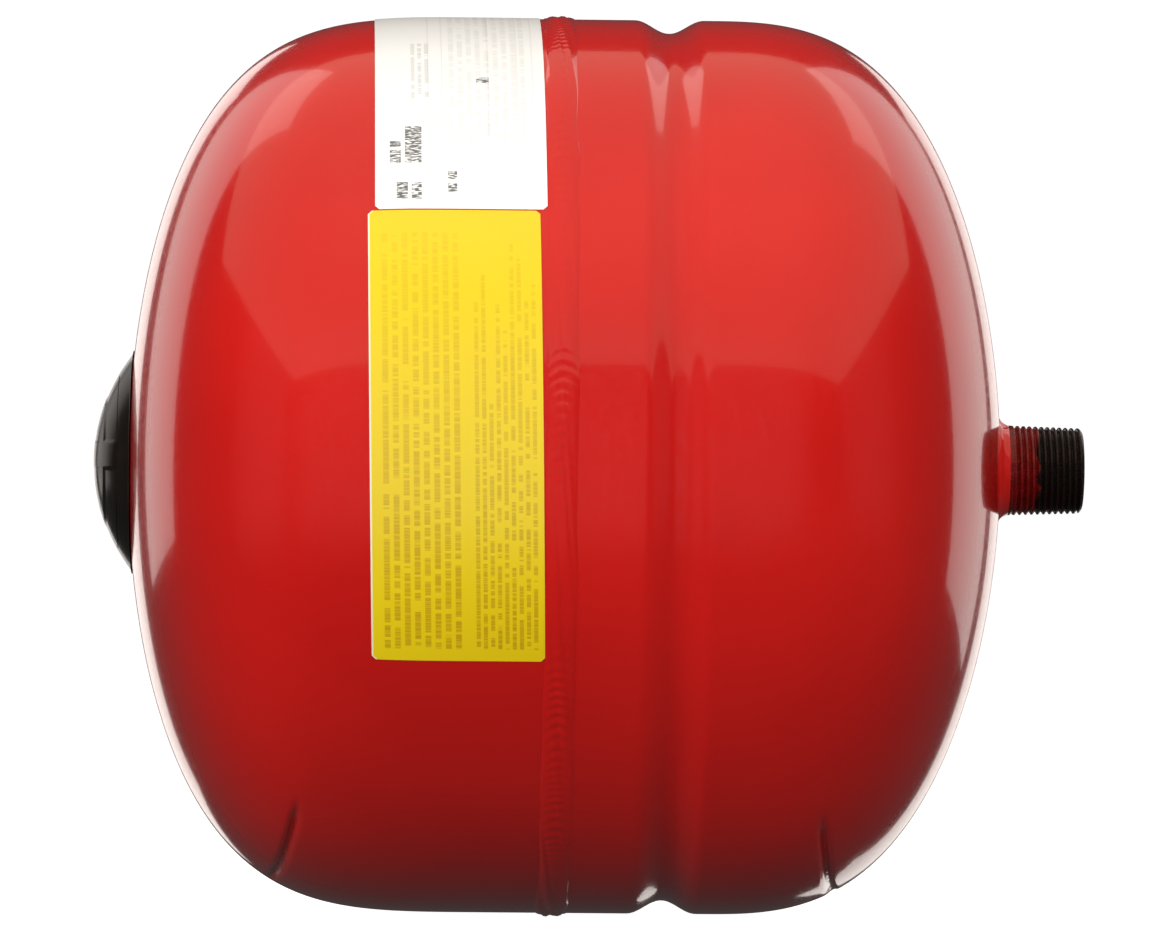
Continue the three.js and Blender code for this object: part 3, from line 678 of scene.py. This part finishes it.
def valve_boss(steel, paint):
    """The bush that the valve screws into, and the weld around its foot."""
    boss = revolve("boss_turned", ring_profile("valve_boss", BOSS_BORE), FINE_STEPS)
    dress(boss, steel, "vessel", "bare_steel", "valve_boss")
    low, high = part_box("valve_boss_weld")
    profile = [
        (high.x + 0.3 * MM, BOSS_HOLE - 0.2 * MM),
        (high.x + 0.3 * MM, high.z),
        (high.x - 0.4 * MM, high.z - 0.7 * MM),
        (low.x + 0.3 * MM, BOSS_HOLE + 0.9 * MM),
        (low.x, BOSS_HOLE - 0.2 * MM),
    ]

    def uneven(x, radius, turn):
        return BOSS_WELD_UNEVEN * waves(turn, 31, 14, 5)

    weld = revolve("boss_fillet", profile, FINE_STEPS, uneven, 60)
    dress(weld, paint, "vessel", "red_paint", "valve_boss_weld")


def valve_stem(brass):
    """The stem's fine thread and bore, from the hexagon to its open end."""
    low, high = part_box("valve_body")
    x_thread = np.linspace(low.x + 0.5 * MM, HEXAGON_OUTER_X - 0.4 * MM, 90)
    degrees = np.linspace(0, 360, FINE_STEPS, endpoint=False)
    x, turn = np.meshgrid(x_thread, degrees, indexing="ij")
    phase = x / STEM_PITCH + turn / 360
    valley = np.abs(2 * (phase - np.floor(phase)) - 1)
    threaded = around(x, STEM_RADIUS - STEM_THREAD_DEPTH * smooth_step(valley, 0.1, 0.9), turn)
    plain = np.array([
        (HEXAGON_OUTER_X - 0.2 * MM, STEM_RADIUS - 0.4 * MM),
        (HEXAGON_OUTER_X + 0.3 * MM, STEM_RADIUS - 0.4 * MM),
        (HEXAGON_OUTER_X + STEM_FOOT_START, STEM_FOOT_RADIUS),
        (high.x, STEM_FOOT_RADIUS),
        (high.x, STEM_NECK_BORE),
        (STEM_STEP_X, STEM_NECK_BORE),
        (STEM_STEP_X, STEM_BORE),
        (low.x + 0.2 * MM, STEM_BORE),
        (low.x, STEM_BORE + 0.2 * MM),
        (low.x, STEM_RADIUS - 0.5 * MM),
    ])
    plain_x, plain_turn = np.meshgrid(plain[:, 0], degrees, indexing="ij")
    rest = around(plain_x, np.repeat(plain[:, 1:], FINE_STEPS, axis=1), plain_turn)
    stem = grid_object("valve_stem", np.vstack([threaded, rest]), close_rows=True, close_columns=True)
    dress(finish_mesh(stem, 40), brass, "vessel", "brass", "valve_body")


def valve_hexagon(brass):
    """The hexagon, with the round chamfer that a turned nut has on its corners."""
    degrees = np.linspace(0, 360, 180, endpoint=False)
    to_flat = (degrees + 30) % 60 - 30
    hexagonal = HEXAGON_HALF_FLATS / np.cos(np.radians(to_flat))
    rows = []
    for x, widest in (
        (HEXAGON_OUTER_X, HEXAGON_FACE),
        (HEXAGON_OUTER_X + HEXAGON_CHAMFER, HEXAGON_CORNER),
        (HEXAGON_INNER_X - HEXAGON_CHAMFER, HEXAGON_CORNER),
        (HEXAGON_INNER_X, HEXAGON_FACE),
    ):
        rows.append(around(np.full_like(degrees, x), np.minimum(hexagonal, widest), degrees))
    for x in (HEXAGON_INNER_X, HEXAGON_OUTER_X):
        rows.append(around(np.full_like(degrees, x), np.full_like(degrees, HEXAGON_BORE), degrees))
    nut = grid_object("valve_hexagon", np.stack(rows), close_rows=True, close_columns=True)
    dress(finish_mesh(nut, 25), brass, "vessel", "brass")


def core_spring(steel):
    """The valve core's spring, built as a fixed coil from its seat in the housing to the pin's collar."""
    low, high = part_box("valve_core_spring")
    first, last = high.x - SPRING_WIRE, low.x + SPRING_WIRE
    shares = np.linspace(0, 1, SPRING_TURNS * SPRING_STEPS)
    share, section = np.meshgrid(shares, np.linspace(0, 360, 12, endpoint=False), indexing="ij")
    radius = SPRING_COIL + SPRING_WIRE * np.cos(np.radians(section))
    x = first + (last - first) * share + SPRING_WIRE * np.sin(np.radians(section))
    points = around(x, radius, share * SPRING_TURNS * 360)
    spring = grid_object("core_spring_coil", points, close_rows=False, close_columns=True)
    cap_open_ends(spring)
    finish_mesh(spring)
    spring.data.materials.append(steel)
    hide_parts("valve_core_spring")
    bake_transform(spring)


def dust_cap():
    """The valve's screwed cap, with a fluted grip and a domed end."""
    low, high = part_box("dust_cap")
    outer = high.z
    top = low.x + DUST_CAP_TOP
    profile = [
        (low.x + 0.05 * MM, 0.0),
        (low.x, 1.2 * MM),
        (low.x + 0.1 * MM, outer - 1.3 * MM),
        (low.x + 0.5 * MM, outer - 0.5 * MM),
        (low.x + 1.1 * MM, outer - 0.1 * MM),
        (low.x + 1.8 * MM, outer),
        (high.x - 2.4 * MM, outer),
        (high.x - 1.9 * MM, outer),
        (high.x - 0.2 * MM, outer),
        (high.x, outer - 0.2 * MM),
        (high.x, DUST_CAP_BORE + 0.1 * MM),
        (top, DUST_CAP_BORE),
        (top, 0.0),
    ]

    def flutes(x, radius, turn):
        gripped = smooth_step(x, low.x + 1.2 * MM, low.x + 2.0 * MM) * (x < high.x - 2.2 * MM)
        ridge = np.abs(np.sin(np.radians(turn * FLUTES / 2)))
        return -FLUTE_DEPTH * gripped * (radius > DUST_CAP_BORE + 0.3 * MM) * ridge

    cap = revolve("dust_cap_fluted", profile, 288, flutes, 30)
    dress(cap, black_plastic(), "dust_cap", "black_plastic", "dust_cap")


# ---- Diaphragm ----

DIAPHRAGM_INSET = 2.2 * MM
DIAPHRAGM_THICKNESS = 1.6 * MM
CROWN_SPLIT = 88 * MM
DIAPHRAGM_LEAD = [                  # the wall's last stretch, from the skirt in to the clamped bead
    (-116 * MM, 132.6 * MM),
    (-118.4 * MM, 132.2 * MM),
    (-120.7 * MM, 131.5 * MM),
]


def diaphragm_wall(material):
    """The diaphragm's wall, which bends in use, built as a fixed skirt from its clamped bead to its crown."""
    dome = dome_path(WATER_DOME, CROWN_SPLIT, SHELL_RADIUS, 40)
    path = np.vstack([inset(dome, DIAPHRAGM_INSET), DIAPHRAGM_LEAD])
    wall = revolve("diaphragm_skirt", walled(path, DIAPHRAGM_THICKNESS), 144)
    wall.data.materials.append(material)
    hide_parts("diaphragm_wall")
    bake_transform(wall)


# ---- Labels ----

LABEL_STEPS_ALONG = 40
LABEL_STEPS_AROUND = 120
LABEL_THICKNESS = 0.18 * MM
LABEL_LIFT = 0.12 * MM
LABEL_CORNER = 1.2 * MM
INSTRUCTION_ANGLES = (-24, 33.2)    # degrees around the shell
INSTRUCTION_SLANT = 0.018           # how far the label tips, along the axis for each metre around
RATING_ANGLES = (33.4, 97)
RATING_SLANT = 0.012

# Blocks of print: number of rows, place of the first, pitch and a seed for its words.
INSTRUCTION_WIDE_PRINT = (8, 3.2 * MM, 2.9 * MM, 3.7)
INSTRUCTION_FINE_PRINT = (9, 29.6 * MM, 2.05 * MM, 19.1)
RATING_PRINT = (9, 21 * MM, 2.6 * MM, 41.3)
RATING_SMALL_PRINT = (3, 10 * MM, 2.0 * MM, 57.9)
INSTRUCTION_ROW_ENDS = (75 * MM, 135 * MM)    # the fine print's rows end raggedly between these
RATING_TEXT_REACH = (26 * MM, 140 * MM)
RATING_SMALL_REACH = (45 * MM, 80 * MM)

# The rating label's rules across its width, and its dark marks (left, right, bottom, top), in millimetres.
RATING_RULES = (15.5, 19.5, 33, 41.5, 46)
RATING_MARKS = (
    (8.6, 13.4, 17, 32),
    (4.2, 7.4, 17, 22),
    (4.2, 7.4, 23.4, 26),
    (10.5, 13.4, 3.5, 9.5),
    (6.2, 9.4, 3.5, 9.5),
    (21.0, 23.6, 6, 9),
    (21.0, 23.6, 10.6, 13.6),
    (29.5, 33.2, 53.5, 56.5),
)


def wrapped_sheet(name, node, degrees, slant, corner):
    """A thin sheet around the shell with rounded corners. slant tips it; UV runs 0 to 1 each way."""
    low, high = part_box(node)
    bottom, top = degrees
    length = SHELL_RADIUS * math.radians(top - bottom)
    width = high.x - low.x
    shares_along, shares_around = np.linspace(0, 1, LABEL_STEPS_ALONG), np.linspace(0, 1, LABEL_STEPS_AROUND)
    u, v = np.meshgrid(shares_along, shares_around, indexing="ij")
    inward_v = np.minimum(v, 1 - v) * length
    short = np.clip(corner - inward_v, 0, None)
    trim = corner - np.sqrt(np.clip(corner ** 2 - short ** 2, 0, None))
    x = low.x + trim + u * (width - 2 * trim) + slant * (0.5 - v) * length
    turn = bottom + v * (top - bottom)
    out = shell_radius_at(x) + LABEL_LIFT
    face = around(x, out + LABEL_THICKNESS, turn)
    back = around(x, out, turn)
    piece = grid_object(name, face, close_rows=False, close_columns=False)
    mesh = piece.data
    layer = mesh.uv_layers.new(name="sheet")
    flat_u, flat_v = u.ravel(), v.ravel()
    for loop in mesh.loops:
        layer.data[loop.index].uv = (flat_u[loop.vertex_index], flat_v[loop.vertex_index])
    return thicken(piece, back.reshape(-1, 3))


def shell_radius_at(x):
    """The shell's outside radius at x: the gas dome, the skirt, and the foot of the weld."""
    fraction = np.clip((GAS_DOME["tangent"] - x) / (GAS_DOME["tangent"] - GAS_DOME["apex"]), 0, 1)
    return SHELL_RADIUS * (1 - fraction ** GAS_DOME["axial"]) ** (1 / GAS_DOME["radial"])


def thicken(piece, back):
    """Closes a sheet with a second face at the back points and a strip around its edge."""
    shape = bmesh.new()
    shape.from_mesh(piece.data)
    shape.verts.ensure_lookup_table()
    rim = [edge for edge in shape.edges if edge.is_boundary]
    copies = [shape.verts.new(place) for place in back.tolist()]
    layer = shape.loops.layers.uv.active
    for face in list(shape.faces):
        twin = shape.faces.new([copies[vert.index] for vert in reversed(face.verts)])
        for loop, source in zip(twin.loops, reversed(face.loops)):
            loop[layer].uv = source[layer].uv
    for edge in rim:
        first, second = edge.verts
        strip = shape.faces.new([first, second, copies[second.index], copies[first.index]])
        for loop in strip.loops:
            loop[layer].uv = (0.001, 0.001)
    bmesh.ops.recalc_face_normals(shape, faces=shape.faces)
    shape.to_mesh(piece.data)
    shape.free()
    for face in piece.data.polygons:
        face.use_smooth = True
    piece.data.set_sharp_from_angle(angle=math.radians(40))
    return piece


def print_bars(sheet, across, along, rows, first, pitch, seed):
    """Rows of blurred word-like bars: across counts rows and along runs down each row, both in metres."""
    place = sheet.math("DIVIDE", sheet.math("SUBTRACT", across, first), pitch)
    row = sheet.math("FLOOR", place)
    local = sheet.math("FRACT", place)
    inside = sheet.span(place, 0.0, rows)
    thin = sheet.between(sheet.math("ABSOLUTE", sheet.math("SUBTRACT", local, 0.5)), 0.24, 0.33, 1.0, 0.0)
    offset = sheet.math("MULTIPLY_ADD", row, 7.31, seed)
    letters = sheet.add("ShaderNodeCombineXYZ", {"X": sheet.math("MULTIPLY", along, 1000), "Y": offset})
    word_noise = sheet.noise(0.42, 1, vector=letters.outputs["Vector"])
    words = sheet.between(word_noise, 0.41, 0.44)
    letter_noise = sheet.noise(2.4, 2, vector=letters.outputs["Vector"])
    body = sheet.between(letter_noise, 0.36, 0.56, 0.35, 1.0)
    ink = sheet.math("MULTIPLY", sheet.math("MULTIPLY", thin, words), sheet.math("MULTIPLY", body, inside))
    return ink, row


def yellow_label():
    """A yellow instruction label: two blocks of ochre print whose rows run up the label."""
    low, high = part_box("instruction_label")
    width = high.x - low.x
    arc = SHELL_RADIUS * math.radians(INSTRUCTION_ANGLES[1] - INSTRUCTION_ANGLES[0])
    sheet = Surface("yellow_film", roughness=0.3, coat_weight=0.15, coat_roughness=0.15)
    uv = sheet.add("ShaderNodeUVMap", uv_map="sheet").outputs["UV"]
    parts = sheet.add("ShaderNodeSeparateXYZ", {"Vector": uv}).outputs
    across = sheet.math("MULTIPLY", parts["X"], width)
    along = sheet.math("MULTIPLY", parts["Y"], arc)
    first, __ = print_bars(sheet, across, along, *INSTRUCTION_WIDE_PRINT)
    second, row = print_bars(sheet, across, along, *INSTRUCTION_FINE_PRINT)
    row_seed = sheet.add("ShaderNodeCombineXYZ", {"X": sheet.math("MULTIPLY", row, 5.3)}).outputs["Vector"]
    ragged = sheet.noise(1, 0, vector=row_seed)
    margin = sheet.math("MULTIPLY", sheet.between(along, 3.5 * MM, 4.0 * MM),
                        sheet.between(along, arc - 8 * MM, arc - 7.5 * MM, 1.0, 0.0))
    short = sheet.math("LESS_THAN", along, sheet.between(ragged, 0.3, 0.7, *INSTRUCTION_ROW_ENDS))
    second = sheet.math("MULTIPLY", second, short)
    ink = sheet.math("MULTIPLY", sheet.math("MAXIMUM", first, second), margin)
    # The ink is scaled from 0.55 at the label's lower edge to 0.1 at its upper edge, so the print is painted
    # fainter towards the top.
    ink_fainter_upwards = sheet.math("MULTIPLY", ink, sheet.between(along, 0, arc, 0.55, 0.1))
    ground = sheet.mix(sheet.noise(22, 3), rgb(234, 200, 12), rgb(240, 213, 20))
    coloured = sheet.mix(ink_fainter_upwards, ground, rgb(160, 100, 6))
    pale_edge = sheet.between(across, 0.3 * MM, 0.6 * MM, 1.0, 0.0)
    coloured = sheet.mix(pale_edge, coloured, rgb(246, 240, 214))
    sheet.set(base_color=coloured, normal=sheet.bump(sheet.noise(500, 2), 0.000006))
    piece = wrapped_sheet("instruction_sheet", "instruction_label", INSTRUCTION_ANGLES, INSTRUCTION_SLANT,
                          LABEL_CORNER)
    return dress(piece, sheet.material, "vessel", "yellow_label", "instruction_label")


def white_label():
    """A white rating label: a ruled table, faint rows of print and two plain dark blocks."""
    low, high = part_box("rating_label")
    width = high.x - low.x
    arc = SHELL_RADIUS * math.radians(RATING_ANGLES[1] - RATING_ANGLES[0])
    sheet = Surface("white_film", roughness=0.28, coat_weight=0.2, coat_roughness=0.12)
    uv = sheet.add("ShaderNodeUVMap", uv_map="sheet").outputs["UV"]
    parts = sheet.add("ShaderNodeSeparateXYZ", {"Vector": uv}).outputs
    across = sheet.math("MULTIPLY", parts["X"], width)
    along = sheet.math("MULTIPLY", parts["Y"], arc)

    def rule(value, place, thickness=0.16 * MM):
        distance = sheet.math("ABSOLUTE", sheet.math("SUBTRACT", value, place))
        return sheet.between(distance, thickness, thickness * 1.8, 1.0, 0.0)

    def strongest(values):
        total = values[0]
        for value in values[1:]:
            total = sheet.math("MAXIMUM", total, value)
        return total

    def block(x_start, x_end, y_start, y_end):
        wide = sheet.span(across, x_start * MM, x_end * MM)
        return sheet.math("MULTIPLY", wide, sheet.span(along, y_start * MM, y_end * MM))

    rules = strongest([rule(across, place * MM) for place in RATING_RULES])
    rules = sheet.math("MULTIPLY", rules, sheet.math("GREATER_THAN", along, 5 * MM))
    rows, __ = print_bars(sheet, across, along, *RATING_PRINT)
    small, __ = print_bars(sheet, across, along, *RATING_SMALL_PRINT)
    faint = sheet.math("MULTIPLY", sheet.math("MULTIPLY", rows, sheet.span(along, *RATING_TEXT_REACH)), 0.16)
    upper = sheet.math("MULTIPLY", sheet.math("MULTIPLY", small, sheet.span(along, *RATING_SMALL_REACH)), 0.3)
    marks = strongest([block(*corners) for corners in RATING_MARKS])
    letters = sheet.add("ShaderNodeCombineXYZ", {
        "X": sheet.math("MULTIPLY", along, 700),
        "Y": sheet.math("MULTIPLY", across, 160),
    })
    dashes = sheet.between(sheet.noise(3.0, 1, vector=letters.outputs["Vector"]), 0.44, 0.5)
    marks = sheet.math("MULTIPLY", sheet.math("MULTIPLY", marks, dashes), 0.85)
    ground = sheet.mix(sheet.noise(30, 3), rgb(244, 244, 243), rgb(251, 251, 250))
    coloured = sheet.mix(sheet.math("MULTIPLY", rules, 0.14), ground, rgb(120, 120, 122))
    coloured = sheet.mix(sheet.math("MAXIMUM", faint, upper), coloured, rgb(110, 110, 112))
    coloured = sheet.mix(marks, coloured, rgb(34, 33, 33))
    sheet.set(base_color=coloured, normal=sheet.bump(sheet.noise(500, 2), 0.000006))
    piece = wrapped_sheet("rating_sheet", "rating_label", RATING_ANGLES, RATING_SLANT, LABEL_CORNER)
    return dress(piece, sheet.material, "vessel", "white_label", "rating_label")


# ---- Stage, light and camera ----

CAMERA_DISTANCE = 2.2
CAMERA_AZIMUTH = -1.2               # degrees, towards the gas end
CAMERA_HEIGHT = 0.4                 # degrees above the vessel's axis
CAMERA_ROLL = 0.55
VIEW_CENTRE = Vector((-153.2 * MM, 0, 0.7 * MM))
VIEW_WIDTH = 0.3027 * MM * 1152     # what the picture's width spans at the vessel's axis
SENSOR_WIDTH = 36
CAMERA_REACH = 60                   # how far the camera sees, past the backdrop


def camera():
    """Looks at the vessel from the side that the photograph shows, slightly rolled."""
    data = bpy.data.cameras.new("camera")
    data.sensor_width = SENSOR_WIDTH
    data.lens = SENSOR_WIDTH * CAMERA_DISTANCE / VIEW_WIDTH
    data.clip_end = CAMERA_REACH
    eye = bpy.data.objects.new("camera", data)
    azimuth, height = math.radians(CAMERA_AZIMUTH), math.radians(CAMERA_HEIGHT)
    level = math.cos(height)
    away = Vector((math.sin(azimuth) * level, -math.cos(azimuth) * level, math.sin(height)))
    eye.location = VIEW_CENTRE + away * CAMERA_DISTANCE
    facing = (-away).to_track_quat("-Z", "Y").to_matrix().to_4x4()
    roll = Matrix.Rotation(math.radians(CAMERA_ROLL), 4, "Z")
    eye.matrix_world = Matrix.Translation(eye.location) @ facing @ roll
    bpy.context.scene.collection.objects.link(eye)
    bpy.context.scene.camera = eye


def soft_light(name, place, target, size, power, colour=(1, 1, 1)):
    """A rectangular soft light at place, facing target."""
    data = bpy.data.lights.new(name, "AREA")
    data.shape = "RECTANGLE"
    data.size, data.size_y = size
    data.energy = power
    data.color = colour
    light = bpy.data.objects.new(name, data)
    light.location = place
    direction = Vector(target) - Vector(place)
    light.rotation_euler = direction.to_track_quat("-Z", "Y").to_euler()
    bpy.context.scene.collection.objects.link(light)
    return light


def white_stage_surface(name):
    """A matt white that glows as bright as the picture's background."""
    surface = bpy.data.materials.new(name)
    surface.use_nodes = True
    shader = surface.node_tree.nodes["Principled BSDF"]
    shader.inputs["Base Color"].default_value = (0.9, 0.9, 0.9, 1)
    shader.inputs["Roughness"].default_value = 0.9
    shader.inputs["Emission Color"].default_value = (1, 1, 1, 1)
    shader.inputs["Emission Strength"].default_value = 1.0
    return surface


FLOOR_SIZE = 30
FLOOR_Z = CAD_BOX[0][2] - 0.2 * MM
BACKDROP_RADIUS = FLOOR_SIZE * 0.55


def stage():
    """A white floor inside a white backdrop. Neither shows in the gloss of the paint."""
    half = FLOOR_SIZE / 2
    mesh = bpy.data.meshes.new("studio_floor")
    corners = [(-half, -half, FLOOR_Z), (half, -half, FLOOR_Z), (half, half, FLOOR_Z), (-half, half, FLOOR_Z)]
    mesh.from_pydata(corners, [], [(0, 1, 2, 3)])
    floor = bpy.data.objects.new("studio_floor", mesh)
    floor.data.materials.append(white_stage_surface("pale_floor"))
    bpy.context.scene.collection.objects.link(floor)
    floor.visible_glossy = False
    floor.visible_diffuse = False
    rows = np.linspace(-90, 90, 25)
    turns = np.linspace(0, 360, 48, endpoint=False)
    height, turn = np.meshgrid(np.radians(rows), np.radians(turns), indexing="ij")
    points = np.stack([
        BACKDROP_RADIUS * np.cos(height) * np.cos(turn),
        BACKDROP_RADIUS * np.cos(height) * np.sin(turn),
        BACKDROP_RADIUS * np.sin(height),
    ], axis=-1)
    backdrop = grid_object("studio_backdrop", points, close_rows=False, close_columns=True)
    backdrop.data.materials.append(white_stage_surface("white_backdrop"))
    backdrop.visible_glossy = False
    backdrop.visible_diffuse = False
    backdrop.visible_shadow = False


WORLD_GREY = 0.055
WARM_WHITE = (1, 0.93, 0.88)
SOFTBOX_TINT = (1, 0.85, 0.66)

# Soft lights: name, place from VIEW_CENTRE, size and watts.
SOFTBOX_PLACE = (0, -0.66, 1.0)
SOFTBOX_SIZE = (4.2, 2.9)
SOFTBOX_WATTS = 20
SIDE_PANELS = (
    ("left_panel", (-1.0, 1.13, 0.7), (0.7, 2.0), 3.6),
    ("right_panel", (1.06, 1.16, 0.6), (0.85, 2.0), 4.4),
)
FILLS = (
    ("front_fill", (-0.3, -2.0, 0.22), (2.6, 1.8), 36),
    ("top_fill", (0, -0.5, 1.8), (1.6, 1.6), 12),
    ("left_fill", (-1.9, -0.9, 0.2), (1.2, 1.6), 17),
    ("right_fill", (1.9, -0.9, 0.4), (1.2, 1.6), 13),
)
RIM_PANELS = (
    ("left_rim_panel", (-0.56, 1.82, 0.1), (0.42, 1.3), 2.2),
    ("right_rim_panel", (0.60, 1.80, -0.2), (0.42, 1.7), 2.6),
)


def lights():
    """A softbox overhead, panels behind that show as streaks, and fills that don't show in the gloss."""
    world = bpy.data.worlds.new("studio")
    world.use_nodes = True
    world.node_tree.nodes["Background"].inputs["Color"].default_value = (1, 1, 1, 1)
    world.node_tree.nodes["Background"].inputs["Strength"].default_value = WORLD_GREY
    bpy.context.scene.world = world
    above = VIEW_CENTRE + Vector(SOFTBOX_PLACE)
    below = above - Vector((0, 0, 1))
    soft_light("overhead_softbox", above, below, SOFTBOX_SIZE, SOFTBOX_WATTS, SOFTBOX_TINT)
    for name, place, size, power in SIDE_PANELS:
        soft_light(name, VIEW_CENTRE + Vector(place), VIEW_CENTRE, size, power, WARM_WHITE)
    for name, place, size, power in FILLS:
        fill = soft_light(name, VIEW_CENTRE + Vector(place), VIEW_CENTRE, size, power)
        fill.visible_glossy = False
    for name, place, size, power in RIM_PANELS:
        panel = soft_light(name, VIEW_CENTRE + Vector(place), VIEW_CENTRE, size, power, WARM_WHITE)
        panel.visible_camera = False


# ---- Build ----


def keep_cad_shape(material, *names):
    """Gives hidden CAD nodes a procedural material. They keep their CAD shape."""
    for name in names:
        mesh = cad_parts[name].data
        mesh.materials.clear()
        mesh.materials.append(material)


def build():
    """Builds every piece, its material and the studio around them."""
    red = red_paint()
    weld_red = red_paint("red_enamel_over_weld", peel=3.0)
    camera()
    gas_shell(red)
    water_shell(red)
    weld_bead(weld_red)
    nipple()
    nipple_fillet(weld_red)
    cover()
    steel = bare_steel()
    brass = turned_brass()
    black_rubber = rubber()
    valve_boss(steel, weld_red)
    valve_stem(brass)
    valve_hexagon(brass)
    core_spring(steel)
    dust_cap()
    diaphragm_wall(black_rubber)
    white_label()
    yellow_label()
    keep_cad_shape(steel, "clamp_ring")
    keep_cad_shape(brass, "valve_core_housing", "valve_core_pin")
    keep_cad_shape(black_rubber, "diaphragm_bead", "diaphragm_crown", "valve_o_ring", "valve_core_gasket",
                   "valve_core_seal", "dust_cap_seal")
    stage()
    lights()


build()
bpy.context.scene.view_settings.view_transform = "Standard"
